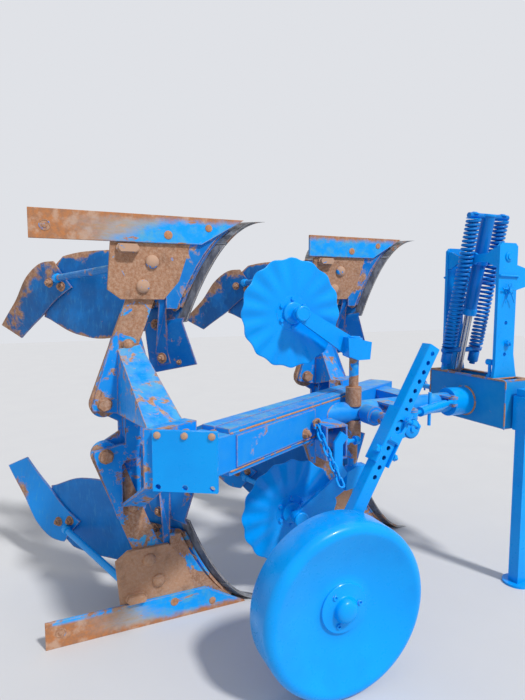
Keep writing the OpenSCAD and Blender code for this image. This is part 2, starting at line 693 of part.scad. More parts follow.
// Frame whose Z runs up along the leg, with its origin at the pivot
pivot_drop = (axis_h - wheel_d / 2);
leg_off = (pivot_x - wheel_x - pivot_drop * tan(leg_a)) * cos(leg_a);
wheel_down = pivot_drop / cos(leg_a) + (pivot_x - wheel_x - pivot_drop * tan(leg_a)) * sin(leg_a);
module arm_frame() {
    placed() translate([pivot_x, 0, axis_h]) rotate([0, leg_a, 0]) children();
}
sleeve_s = wheel_leg_s + 17;
sleeve_l = 246;
module arm_piece() {
    y1 = pivot_end;
    color(blue) arm_frame() difference() {
        union() {
            translate([-leg_off - sleeve_s / 2, leg_y - sleeve_s / 2, -sleeve_l / 2])
                cube([sleeve_s, sleeve_s, sleeve_l]);
            translate([0, y1, 0]) along_y(hub_w, pivot_d + 26);
            plate_xz(y1, 22) hull() {
                circle(d = pivot_d + 26);
                translate([-leg_off + sleeve_s / 2 - 6, 0]) square([12, 150], center = true);
            }
        }
        translate([0, y1 - 1, 0]) along_y(hub_w + 2, pivot_d + 2 * fit);
        translate([-leg_off - wheel_leg_s / 2 - seat, leg_y - wheel_leg_s / 2 - seat, -sleeve_l])
            cube([wheel_leg_s + 2 * seat, wheel_leg_s + 2 * seat, 2 * sleeve_l]);
        // window in the sleeve's outer wall
        translate([-leg_off, leg_y, 0]) hull() for (k = [-45, -95]) translate([0, 0, k])
            rotate([90, 0, 0]) cylinder(h = 60, d = 30);
    }
}
hole_pitch = 50;
leg_up = 360;
module leg_tube_piece() {
    color(blue) arm_frame() difference() {
        translate([-leg_off - wheel_leg_s / 2, leg_y - wheel_leg_s / 2, -wheel_down - 35])
            cube([wheel_leg_s, wheel_leg_s, wheel_down + 35 + leg_up]);
        translate([-leg_off - wheel_leg_s / 2 + 6, leg_y - wheel_leg_s / 2 + 6, -wheel_down + 60])
            cube([wheel_leg_s - 12, wheel_leg_s - 12, wheel_down + leg_up]);
        for (i = [0:12]) translate([-leg_off, leg_y + wheel_leg_s, leg_up - 30 - i * hole_pitch])
            rotate([90, 0, 0]) cylinder(h = 2 * wheel_leg_s, d = leg_hole_d);
    }
    color(blue) placed() translate([wheel_x, wheel_face + 62, wheel_d / 2])
        along_y(leg_y - wheel_leg_s / 2 - wheel_face - 62, axle_d);
}
axle_d = 40;
module wheel_piece() {
    w = wheel_w;
    r = wheel_d / 2;
    t = wheel_t;
    // radius and depth from the outer plane of the dished sheet
    color(blue) placed() translate([wheel_x, wheel_face, wheel_d / 2]) rotate([-90, 0, 0])
        rotate_extrude($fn = 96) difference() {
            union() {
                polygon([[r - 22, 0], [r - 8, 3], [r - 1.5, 10], [r, 20], [r, w], [r - t, w],
                    [r - t, 22], [r - 7, 13.5], [r - 11, 8.5], [r - 22, t],
                    [r - 34, 9.5], [r - 70, 24], [150, 36], [110, 47], [80, 52 + t], [38, 52 + t],
                    [38, 46], [80, 46], [110, 41], [150, 30], [r - 70, 18], [r - 34, 3.5]]);
                translate([axle_d / 2 + fit, 46]) square([20, 62]);
                translate([20, 46]) square([22, t]);
            }
            translate([-1, 60]) square([axle_d / 2 + fit + 1, 200]);
            translate([-1, 0]) square([axle_d / 2 + fit + 1, 62]);
        }
}

// Adjusting spindle at the right of the frame, pinned between two pairs of lugs
eye_h = 20;
eye_d = 42;
bolt_d = 20;
spindle_a = [1370, -300, axis_h + 20];
spindle_b = [1712, -165, axis_h + 20];
module spindle_piece() {
    v = spindle_b - spindle_a;
    l = norm(v);
    color(blue) placed() translate(spindle_a) rotate([0, 0, atan2(v.y, v.x)]) difference() {
        union() {
            along_x(l, 18);
            translate([60, 0, 0]) along_x(l - 170, 40);
            translate([l - 112, 0, 0]) along_x(34, 34);
            translate([l / 2 - 40, 0, -70]) cylinder(h = 140, d = 14);
            for (x = [0, l]) translate([x, 0, -eye_h / 2]) cylinder(h = eye_h, d = eye_d);
        }
        for (x = [0, l]) translate([x, 0, -eye_h]) cylinder(h = 2 * eye_h, d = bolt_d + 2 * seat);
    }
}
module lugs_piece() {
    color(old_blue) placed() difference() {
        union() {
            for (p = [spindle_a, spindle_b], s = [-1, 1])
                translate([p.x, p.y, p.z + s * (eye_h / 2 + seat + 5) - 5]) linear_extrude(10) union() {
                    circle(d = eye_d);
                    polygon([[-eye_d / 2, 0], [eye_d / 2, 0], [30, shaft_y - p.y], [-30, shaft_y - p.y]]);
                }
            for (p = [spindle_a, spindle_b]) translate(p - [0, 0, 26]) cylinder(h = 52, d = bolt_d);
        }
        translate([1300, shaft_y, axis_h]) along_x(500, shaft_d);
    }
}

// Hanging chain of plain links
link_n = 8;
link_w = 8;
link_in = 32;
chain_a = [985, -212, 770];
chain_b = [985, -395, 590];
module link_piece() {
    half = link_in / 2 - 7;
    for (s = [-1, 1]) {
        translate([0, 0, s * half]) rotate([90, 0, 0])
            rotate([0, 0, s > 0 ? 0 : 180]) rotate_extrude(angle = 180, $fn = 24)
                translate([7 + link_w / 2, 0]) circle(d = link_w, $fn = 16);
        translate([s * (7 + link_w / 2), 0, -half]) cylinder(h = 2 * half, d = link_w, $fn = 16);
    }
}
module chain_piece() {
    v = chain_b - chain_a;
    color(blue) placed() translate(chain_a)
        rotate([0, acos(v.z / norm(v)), atan2(v.y, v.x)])
            for (i = [0:link_n-1]) translate([0, 0, link_in / 2 + i * (link_in - 0.4)])
                rotate([0, 0, i % 2 * 90]) link_piece();
    // ears on the beam with the pin that the first link hangs on
    color(old_blue) placed() difference() {
        union() {
            translate(chain_a + [-14, -2.5, 1.5]) along_x(28, link_w - 1);
            for (x = [-14, 8]) translate([chain_a.x + x, chain_a.y - 8, chain_a.z - 8]) cube([6, 60, 20]);
        }
        beam_block();
        translate([0, 0, -1]) linear_extrude(3000)
            polygon([[900, -200], [1100, -80], [1100, 0], [900, 0]]);
    }
}

trough_piece();  // cross_trough
bearing_piece();  // shaft_bearing
posts_piece();  // tower_posts
bridge_piece();  // tower_bridge
link_bracket_piece();  // top_link_bracket
hitch_piece();  // hitch_shaft
stand_sleeve_piece();  // stand_sleeve
stand_piece();  // parking_stand
shaft_piece();  // turnover_shaft
crank_piece();  // crank
beam_piece();  // main_beam
flange_piece();  // end_flange
tie_piece();  // frame_tie
bracket(rear, mitre(root_w), 101);  // rear_bracket
bracket(front, 1076, 1256);  // front_bracket
body_at(rear, false) leg_piece();  // leg_rear_lower
body_at(rear, true) leg_piece();  // leg_rear_upper
body_at(front, false) leg_piece();  // leg_front_lower
body_at(front, true) leg_piece();  // leg_front_upper
body_at(rear, false) frog_piece();  // frog_rear_lower
body_at(rear, true) frog_piece();  // frog_rear_upper
body_at(front, false) frog_piece();  // frog_front_lower
body_at(front, true) frog_piece();  // frog_front_upper
body_at(rear, false) landside_piece(true);  // landside_rear_lower
body_at(rear, true) landside_piece(true);  // landside_rear_upper
body_at(front, false) landside_piece(false);  // landside_front_lower
body_at(front, true) landside_piece(false);  // landside_front_upper
body_at(rear, false) share_piece();  // share_rear_lower
body_at(rear, true) share_piece();  // share_rear_upper
body_at(front, false) share_piece();  // share_front_lower
body_at(front, true) share_piece();  // share_front_upper
body_at(rear, false) board_piece();  // mouldboard_rear_lower
body_at(rear, true) board_piece();  // mouldboard_rear_upper
body_at(front, false) board_piece();  // mouldboard_front_lower
body_at(front, true) board_piece();  // mouldboard_front_upper
body_at(rear, false) tail_piece();  // tail_rear_lower
body_at(rear, true) tail_piece();  // tail_rear_upper
body_at(front, false) tail_piece();  // tail_front_lower
body_at(front, true) tail_piece();  // tail_front_upper
body_at(rear, false) cover_piece();  // cover_rear_lower
body_at(rear, true) cover_piece();  // cover_rear_upper
body_at(front, false) cover_piece();  // cover_front_lower
body_at(front, true) cover_piece();  // cover_front_upper
stems_piece();  // coulter_stems
coulter_arm_piece(false);  // coulter_arm_upper
coulter_arm_piece(true);  // coulter_arm_lower
disc_piece(false);  // disc_upper
disc_piece(true);  // disc_lower
pivot_piece();  // wheel_pivot
arm_piece();  // wheel_arm
leg_tube_piece();  // wheel_leg
wheel_piece();  // depth_wheel
spindle_piece();  // spindle
lugs_piece();  // spindle_lugs
chain_piece();  // chain
barrel_piece();  // turn_cylinder
rod_piece();  // turn_rod
springs_piece();  // return_springs
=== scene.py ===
import json
import math
import random
import bmesh
import bpy
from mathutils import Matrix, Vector


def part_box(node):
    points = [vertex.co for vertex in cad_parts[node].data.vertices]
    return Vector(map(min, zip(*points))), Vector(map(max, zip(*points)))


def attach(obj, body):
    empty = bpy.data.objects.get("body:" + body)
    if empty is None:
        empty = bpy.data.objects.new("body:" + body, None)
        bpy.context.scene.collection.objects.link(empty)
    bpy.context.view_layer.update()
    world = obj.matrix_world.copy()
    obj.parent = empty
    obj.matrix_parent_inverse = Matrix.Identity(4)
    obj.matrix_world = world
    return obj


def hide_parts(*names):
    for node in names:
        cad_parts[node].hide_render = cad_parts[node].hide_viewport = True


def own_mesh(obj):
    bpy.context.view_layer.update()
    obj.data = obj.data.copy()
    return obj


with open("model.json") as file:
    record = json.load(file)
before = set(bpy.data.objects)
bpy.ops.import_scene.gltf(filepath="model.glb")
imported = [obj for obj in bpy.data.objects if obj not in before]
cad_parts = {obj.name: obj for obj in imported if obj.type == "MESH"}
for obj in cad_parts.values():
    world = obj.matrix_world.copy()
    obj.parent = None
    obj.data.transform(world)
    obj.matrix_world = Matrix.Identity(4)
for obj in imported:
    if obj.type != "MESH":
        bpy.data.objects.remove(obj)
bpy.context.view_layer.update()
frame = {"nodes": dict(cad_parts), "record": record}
scene = bpy.context.scene
print("frame loaded")

# places below are in millimetres from the rear heel, as in the part's source
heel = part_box("landside_rear_lower")[0]
plough = {
    "axisHeight": 780,
    "axisY": -85,
    "frontStep": (1000, 300),    # front bodies ahead and to the left of the rear ones
    "beamAngle": 30,
    "beamStart": (409, -446),
}


def at(x, y, z):
    return Vector((heel.x + x / 1000, heel.y + y / 1000, heel.z + z / 1000))


def onBody(front, upper, x, y, z):
    # upper bodies mirror the lower ones in the turnover axis' height
    dx, dy = plough["frontStep"] if front else (0, 0)
    return at(x + dx, y + dy, 2 * plough["axisHeight"] - z if upper else z)


def onBeam(along, side, up):
    # along the slanting beam from its rear end, to its left, and over the axis
    a = math.radians(plough["beamAngle"])
    x0, y0 = plough["beamStart"]
    return at(x0 + along * math.cos(a) - side * math.sin(a),
              y0 + along * math.sin(a) + side * math.cos(a), plough["axisHeight"] + up)


# camera at the photograph's place
eye = {"place": (-16, -1933, 1260), "heading": 65.84, "down": 5.646, "lens": 27.05}
camera = bpy.data.objects.new("photoCamera", bpy.data.cameras.new("photoCamera"))
camera.data.lens = eye["lens"]
camera.data.sensor_width = 36
camera.data.clip_start = 0.05
camera.location = at(*eye["place"])
camera.rotation_euler = (math.radians(90 - eye["down"]), 0, math.radians(eye["heading"] - 90))
scene.collection.objects.link(camera)
scene.camera = camera


# finishes: every one is a node tree on object coordinates, which stay with the piece
class Finish:
    def __init__(self, name):
        self.material = bpy.data.materials.new(name)
        self.material.use_nodes = True
        self.tree = self.material.node_tree
        self.tree.nodes.clear()
        self.shader = self.node("ShaderNodeBsdfPrincipled")
        output = self.node("ShaderNodeOutputMaterial")
        self.link(self.shader.outputs[0], output.inputs["Surface"])
        self.where = self.node("ShaderNodeTexCoord").outputs["Object"]

    def node(self, kind, **settings):
        made = self.tree.nodes.new(kind)
        for key, value in settings.items():
            setattr(made, key, value)
        return made

    def link(self, a, b):
        self.tree.links.new(a, b)

    def feed(self, value, socket):
        # a tone by its name, a plain value, or another node's output
        value = tones[value] if isinstance(value, str) else value
        if isinstance(value, (int, float, tuple)):
            socket.default_value = value
        else:
            self.link(value, socket)

    def noise(self, scale, detail=5, rough=0.6, stretch=None, shift=0.0, warp=0.0):
        place = self.node("ShaderNodeMapping")
        place.inputs["Location"].default_value = (shift, shift * 0.7, -shift)
        place.inputs["Scale"].default_value = stretch or (1, 1, 1)
        self.link(self.where, place.inputs["Vector"])
        made = self.node("ShaderNodeTexNoise")
        made.inputs["Scale"].default_value = scale
        made.inputs["Detail"].default_value = detail
        made.inputs["Roughness"].default_value = rough
        made.inputs["Distortion"].default_value = warp
        self.link(place.outputs[0], made.inputs["Vector"])
        return made.outputs["Fac"]

    def span(self, value, low, high, first=0.0, last=1.0):
        made = self.node("ShaderNodeMapRange", interpolation_type="SMOOTHSTEP")
        self.feed(value, made.inputs["Value"])
        made.inputs["From Min"].default_value = low
        made.inputs["From Max"].default_value = high
        made.inputs["To Min"].default_value = first
        made.inputs["To Max"].default_value = last
        return made.outputs["Result"]

    def math(self, what, a, b):
        made = self.node("ShaderNodeMath", operation=what)
        self.feed(a, made.inputs[0])
        self.feed(b, made.inputs[1])
        return made.outputs[0]

    def cloud(self, low, high, *grain, **more):
        # patches of noise, none under low and full over high
        return self.span(self.noise(*grain, **more), low, high)

    def times(self, a, b):
        return self.math("MULTIPLY", a, b)

    def plus(self, a, b):
        return self.math("ADD", a, b)

    def minus(self, a, b):
        return self.math("SUBTRACT", a, b)

    def most(self, a, b):
        return self.math("MAXIMUM", a, b)

    def least(self, a, b):
        return self.math("MINIMUM", a, b)

    def blend(self, share, a, b):
        made = self.node("ShaderNodeMix", data_type="RGBA")
        self.feed(share, made.inputs["Factor"])
        self.feed(a, made.inputs["A"])
        self.feed(b, made.inputs["B"])
        return made.outputs["Result"]

    def edges(self, width, low=0.05, high=0.35):
        # one where the surface turns within the width, as at a corner
        soft = self.node("ShaderNodeBevel", samples=6)
        soft.inputs["Radius"].default_value = width
        plain = self.node("ShaderNodeNewGeometry")
        facing = self.node("ShaderNodeVectorMath", operation="DOT_PRODUCT")
        self.link(soft.outputs[0], facing.inputs[0])
        self.link(plain.outputs["Normal"], facing.inputs[1])
        return self.span(self.minus(1.0, facing.outputs["Value"]), low, high)

    def axis(self, letter):
        parts = self.node("ShaderNodeSeparateXYZ")
        self.link(self.where, parts.inputs[0])
        return parts.outputs[letter]

    def upward(self):
        parts = self.node("ShaderNodeSeparateXYZ")
        self.link(self.node("ShaderNodeNewGeometry").outputs["Normal"], parts.inputs[0])
        return parts.outputs["Z"]

    def bump(self, height, strength, depth):
        made = self.node("ShaderNodeBump")
        made.inputs["Strength"].default_value = strength
        made.inputs["Distance"].default_value = depth
        self.link(height, made.inputs["Height"])
        self.link(made.outputs[0], self.shader.inputs["Normal"])

    def mark(self, name):
        # a measure that the piece carries from point to point, such as nearness to its rim
        return self.node("ShaderNodeAttribute", attribute_name=name).outputs["Fac"]

    def done(self, color, rough, metal=0.0, coat=0.0, coatRough=0.1, level=0.25):
        self.feed(color, self.shader.inputs["Base Color"])
        self.feed(rough, self.shader.inputs["Roughness"])
        self.feed(metal, self.shader.inputs["Metallic"])
        self.shader.inputs["Specular IOR Level"].default_value = level
        self.shader.inputs["Coat Weight"].default_value = coat
        self.shader.inputs["Coat Roughness"].default_value = coatRough
        return self.material


tones = {
    "newBlue": (0.0, 0.355, 0.93, 1),
    "newBlueDeep": (0.0, 0.275, 0.82, 1),
    # a darker blue for the springs and the cylinder: a painted shade
    "paintedShadeBlue": (0.0, 0.20, 0.64, 1),
    "oldBlue": (0.002, 0.265, 0.66, 1),
    "oldBluePale": (0.085, 0.41, 0.67, 1),
    # the boards' blue, darker than their paint is in light: partly a painted shade
    "boardBlueHalfShaded": (0.0, 0.17, 0.56, 1),
    "rust": (0.36, 0.175, 0.095, 1),
    "rustSandy": (0.47, 0.25, 0.14, 1),
    "rustDark": (0.13, 0.065, 0.042, 1),
    "rustPale": (0.53, 0.33, 0.225, 1),
    "orangeRust": (0.50, 0.20, 0.075, 1),
    "bareSteel": (0.36, 0.37, 0.39, 1),
    "darkSteel": (0.11, 0.11, 0.115, 1),
    "shinSteel": (0.075, 0.08, 0.10, 1),
    # a darker blue for the upper boards and strips: a painted shade
    "paintedShadeBoard": (0.002, 0.115, 0.38, 1),
    "soil": (0.42, 0.33, 0.24, 1),
    "dirt": (0.085, 0.075, 0.07, 1),
    "rubbedSteel": (0.62, 0.60, 0.57, 1),
    "rubbedShin": (0.56, 0.50, 0.44, 1),
    "shinPale": (0.19, 0.20, 0.23, 1),
    "chrome": (0.50, 0.51, 0.53, 1),
    "oilFilm": (0.26, 0.21, 0.17, 1),
    "floorGrey": (0.60, 0.60, 0.61, 1),
    "floorPale": (0.64, 0.64, 0.64, 1),
}


def gloss(name, base="newBlue", deep="newBlueDeep", chips=0.5):
    # fresh thick blue paint with runs, dust and a few chips at the edges
    f = Finish(name)
    cloud = f.cloud(0.35, 0.7, 6, 3)
    color = f.blend(f.times(cloud, 0.45), base, deep)
    dust = f.times(f.span(f.upward(), 0.55, 1.0), f.cloud(0.45, 0.75, 38, 6))
    color = f.blend(f.times(dust, 0.07), color, "soil")
    speck = f.cloud(0.70, 0.78, 260, 2, 0.5)
    worn = f.times(f.edges(0.004), f.cloud(0.56, 0.64, 45, 5, shift=3))
    chip = f.times(f.most(worn, f.times(speck, 0.25)), chips)
    color = f.blend(chip, color, "rustPale")
    rough = f.plus(f.span(f.noise(55, 4, shift=1), 0.3, 0.8, 0.26, 0.42),
                   f.times(chip, 0.35))
    runs = f.plus(f.noise(24, 3, 0.4), f.times(f.noise(420, 2, 0.4), 0.12))
    f.bump(runs, 0.22, 0.0012)
    return f.done(color, rough, coat=0.09, coatRough=0.08, level=0.18)


def wornPaint(name, rustShare=0.5, base="oldBlue", pale="oldBluePale", patches=9):
    # old paint, chalky and rubbed, with rust that breaks through in patches and along the edges
    f = Finish(name)
    chalk = f.cloud(0.38, 0.68, 16, 6, 0.65)
    scratch = f.cloud(0.56, 0.70, 60, 4, 0.7, stretch=(0.25, 1, 3))
    share = f.span(f.upward(), 0.2, 0.9, 0.16, 0.85)
    color = f.blend(f.times(f.most(chalk, scratch), share), base, pale)
    spots = f.noise(patches, 8, 0.68, shift=5, warp=0.4)
    limit = 0.66 - 0.14 * rustShare
    patch = f.span(spots, limit, limit + 0.025)
    rim = f.times(f.edges(0.010, 0.02, 0.22), f.cloud(0.36, 0.50, 30, 7, 0.7, shift=8))
    rusty = f.most(patch, rim)
    rustTone = f.blend(f.cloud(0.38, 0.66, 70, 6, 0.7), "rust", "rustPale")
    rustTone = f.blend(f.cloud(0.55, 0.70, 26, 5, shift=4), rustTone, "rustDark")
    halo = f.span(spots, limit - 0.035, limit)
    color = f.blend(f.times(halo, 0.35), color, "rustPale")
    color = f.blend(rusty, color, rustTone)
    dust = f.times(f.span(f.upward(), 0.6, 1.0), f.cloud(0.40, 0.75, 20, 6, shift=2))
    color = f.blend(f.times(dust, 0.35), color, "soil")
    rough = f.plus(f.span(f.noise(40, 4), 0.3, 0.7, 0.36, 0.55), f.times(rusty, 0.3))
    grain = f.plus(f.times(f.noise(150, 6, 0.7), f.span(rusty, 0, 1, 0.15, 1.0)),
                   f.times(rusty, -0.35))
    f.bump(grain, 0.55, 0.0014)
    return f.done(color, rough, level=0.2)


def rustySteel(name, blueShare=0.25, patches=7, base="rust", dark=0.55):
    # brown rust with remains of blue paint
    f = Finish(name)
    color = f.blend(f.cloud(0.38, 0.68, 80, 8, 0.75), base, "rustPale")
    color = f.blend(f.times(f.cloud(0.50, 0.72, 17, 7, 0.7, shift=2), dark), color, "rustDark")
    color = f.blend(f.times(f.cloud(0.52, 0.66, 160, 5, 0.8, shift=6), 0.6),
                    color, "soil")
    limit = 0.64 - 0.22 * blueShare
    left = f.span(f.noise(patches, 8, 0.66, shift=9, warp=0.5), limit, limit + 0.025)
    keep = f.times(left, f.minus(1.0, f.edges(0.006, 0.02, 0.3)))
    blue = f.blend(f.cloud(0.4, 0.7, 25, 5), "newBlueDeep", "oldBluePale")
    color = f.blend(keep, color, blue)
    rough = f.span(keep, 0, 1, 0.78, 0.45)
    grain = f.plus(f.noise(130, 8, 0.75), f.times(keep, 0.3))
    f.bump(grain, 0.7, 0.0016)
    return f.done(color, rough, level=0.15)


def landsideSteel(name, x0, x1):
    # soil-worn: rusty heel, grey middle, blue paint near the point
    f = Finish(name)
    along = f.plus(f.axis("X"), f.times(f.noise(7, 6, 0.7, stretch=(1, 1, 2.4)), 0.30))
    along = f.minus(along, 0.15)
    grey = f.blend(f.cloud(0.38, 0.66, 50, 6, 0.7, stretch=(0.4, 1, 2)), "bareSteel", "soil")
    rust = f.blend(f.cloud(0.36, 0.64, 60, 8, 0.7), "orangeRust", "rust")
    rust = f.blend(f.cloud(0.48, 0.66, 18, 6, shift=3), rust, "rustPale")
    color = f.blend(f.span(along, x0 + 0.10, x0 + 0.34), rust, grey)
    # height over the sole, which is below on the lower bodies and above on the upper ones
    height = f.axis("Z")
    over = f.least(height, f.minus(2 * plough["axisHeight"] / 1000, height))
    reach = f.plus(along, f.times(over, 1.6))
    blue = f.blend(f.cloud(0.40, 0.70, 22, 5), "newBlue", "oldBluePale")
    color = f.blend(f.span(reach, x0 + 0.37, x0 + 0.54), color, blue)
    ridge = f.times(f.span(height, 0.080, 0.094), f.span(height, 0.2, 0.3, 1.0, 0.0))
    ridge = f.times(ridge, f.cloud(0.40, 0.55, 30, 6, shift=5))
    color = f.blend(ridge, color, blue)
    sole = f.plus(over, f.times(f.noise(26, 7, 0.7, shift=9), 0.05))
    color = f.blend(f.span(sole, 0.028, 0.058, 1.0, 0.0), color, rust)
    worn = f.most(f.edges(0.010, 0.02, 0.22),
                  f.cloud(0.60, 0.66, 16, 8, 0.7, stretch=(0.5, 1, 2.2), shift=7))
    worn = f.times(worn, f.cloud(0.36, 0.50, 34, 6, 0.7, shift=1))
    color = f.blend(worn, color, rust)
    rough = f.span(f.noise(45, 5), 0.3, 0.7, 0.5, 0.8)
    f.bump(f.noise(120, 8, 0.72, stretch=(0.5, 1, 1.5)), 0.5, 0.0012)
    return f.done(color, rough, metal=0.05)


def wornSteel(name, bright=0.5):
    # dark steel that the soil has scoured, brighter where it wears most
    f = Finish(name)
    streak = f.cloud(0.35, 0.7, 30, 6, 0.7, stretch=(0.35, 0.35, 1.6))
    color = f.blend(streak, "darkSteel", "bareSteel")
    color = f.blend(f.cloud(0.54, 0.62, 11, 7, 0.7, shift=4), color, "rust")
    rim = f.edges(0.006, 0.02, 0.25)
    color = f.blend(f.times(rim, bright), color, "rubbedSteel")
    rough = f.span(f.noise(60, 5), 0.3, 0.7, 0.34, 0.60)
    f.bump(f.noise(140, 7, 0.7, stretch=(0.4, 0.4, 1.4)), 0.4, 0.0009)
    return f.done(color, rough, metal=0.65)


def boardPaint(name, rustShare=0.6, base="boardBlueHalfShaded"):
    # mouldboard and tail: blue with rust at the ends and rubbed rims; the default base is partly a painted
    # shade
    f = Finish(name)
    color = f.blend(f.times(f.cloud(0.40, 0.8, 8, 5), 0.6), base, "newBlueDeep")
    color = f.blend(f.times(f.cloud(0.52, 0.68, 60, 6, 0.7, stretch=(1, 1, 0.3)), 0.25),
                    color, "oldBluePale")
    rim = f.times(f.edges(0.012, 0.03, 0.30), f.cloud(0.36, 0.50, 24, 7, 0.7, shift=3))
    limit = 0.70 - 0.09 * rustShare
    near = f.times(f.mark("rimNear"), 0.15 + 0.13 * rustShare)
    patch = f.span(f.plus(f.noise(9, 8, 0.7, shift=6, warp=0.3), near), limit, limit + 0.10)
    rusty = f.most(rim, patch)
    rustTone = f.blend(f.cloud(0.38, 0.66, 60, 6, 0.7), "rust", "rustPale")
    color = f.blend(rusty, color, rustTone)
    grime = f.times(f.cloud(0.48, 0.70, 6, 6, 0.7, shift=12), 0.25 + 0.35 * rustShare)
    color = f.blend(f.times(grime, f.span(f.mark("rimNear"), 0, 1, 0.25, 1.0)), color, "dirt")
    scour = f.cloud(0.36, 0.66, 40, 6, 0.7, stretch=(1, 1, 0.2))
    steel = f.blend(scour, "shinSteel", "shinPale")
    bare = f.plus(f.mark("shinNear"), f.times(f.noise(22, 6, 0.7, shift=4), 0.5))
    shin = f.span(bare, 0.70, 0.82)
    color = f.blend(shin, color, steel)
    color = f.blend(f.times(shin, f.edges(0.007, 0.02, 0.2)), color, "rubbedShin")
    rough = f.plus(f.span(f.noise(36, 4), 0.3, 0.7, 0.32, 0.48), f.times(rusty, 0.3))
    f.bump(f.plus(f.times(f.noise(110, 6, 0.7), 0.4), f.times(rusty, -0.3)),
           0.45, 0.0012)
    return f.done(color, rough, level=0.22)


def rodChrome(name):
    f = Finish(name)
    film = f.cloud(0.45, 0.75, 40, 5, 0.6, stretch=(1, 1, 0.2))
    color = f.blend(f.times(film, 0.5), "chrome", "oilFilm")
    f.bump(f.noise(300, 3, 0.5, stretch=(1, 1, 0.1)), 0.08, 0.0004)
    return f.done(color, f.span(film, 0, 1, 0.24, 0.42), metal=0.9)


finishes = {
    "gloss": gloss("blueGloss"),
    "glossChipped": gloss("blueGlossChipped", chips=0.9),
    "beam": wornPaint("beamPaint", 0.05, "newBlueDeep"),
    "trough": wornPaint("troughPaint", 0.0, "oldBlue"),
    "bracket": wornPaint("bracketPaint", 0.62, "newBlueDeep", patches=17),
    "legs": rustySteel("legRust", 0.55, 8, dark=0.35),
    "frogs": rustySteel("frogRust", 0.0),
    "sandyFrogs": rustySteel("sandyFrogRust", 0.0, base="rustSandy", dark=0.4),
    # the webs' base blue is partly a painted shade
    "webs": wornPaint("webPaint", 0.75, "boardBlueHalfShaded", patches=12),
    "bolts": rustySteel("boltRust", 0.0),
    "landside": landsideSteel("landsideSteel", heel.x, heel.x + 0.8),
    "shares": wornSteel("shareSteel"),
    "boards": boardPaint("boardPaint", 0.25),
    # upper boards and strips: more rust and grime, on a darker base that is a painted shade
    "dirtyShadedBoards": boardPaint("dirtyShadedBoardPaint", 1.0, "paintedShadeBoard"),
    "strips": boardPaint("stripPaint", 0.0, "newBlueDeep"),
    "dirtyShadedStrips": boardPaint("dirtyShadedStripPaint", 1.0, "paintedShadeBoard"),
    # the covers' base blue is partly a painted shade
    "covers": wornPaint("coverPaint", 0.45, "boardBlueHalfShaded", patches=14),
    "stems": rustySteel("stemRust", 0.36, 9),
    "rod": rodChrome("rodChrome"),
    "blueBolts": gloss("blueBolts", chips=0.7),
    # gloss on a darker base for the springs, the cylinder, the lower seats and the hitch pins: a painted
    # shade
    "springBluePaintedShade": gloss("springBluePaintedShade", "paintedShadeBlue", "boardBlueHalfShaded", 0.6),
    "orangeBolts": rustySteel("orangeBoltRust", 0.0, 9, "orangeRust"),
    "paleBolts": rustySteel("paleBoltRust", 0.25, 30, "rustPale", 0.3),
    "weldRust": rustySteel("weldRust", 0.40, 14, "orangeRust", 0.3),
}
print("finishes made:", len(finishes))

# proportions of bolts and of weld beads; sink and washer in millimetres, step in metres
boltForm = {"height": 0.62, "sink": 0.5, "washer": 3.0, "flat": 0.86, "crown": 0.9, "domeSteps": 7,
            "domeFoot": 0.25, "stub": 0.28}
beadForm = {"step": 0.0035, "swell": 0.14, "pace": 2.1, "chance": 0.08, "end": 0.6}


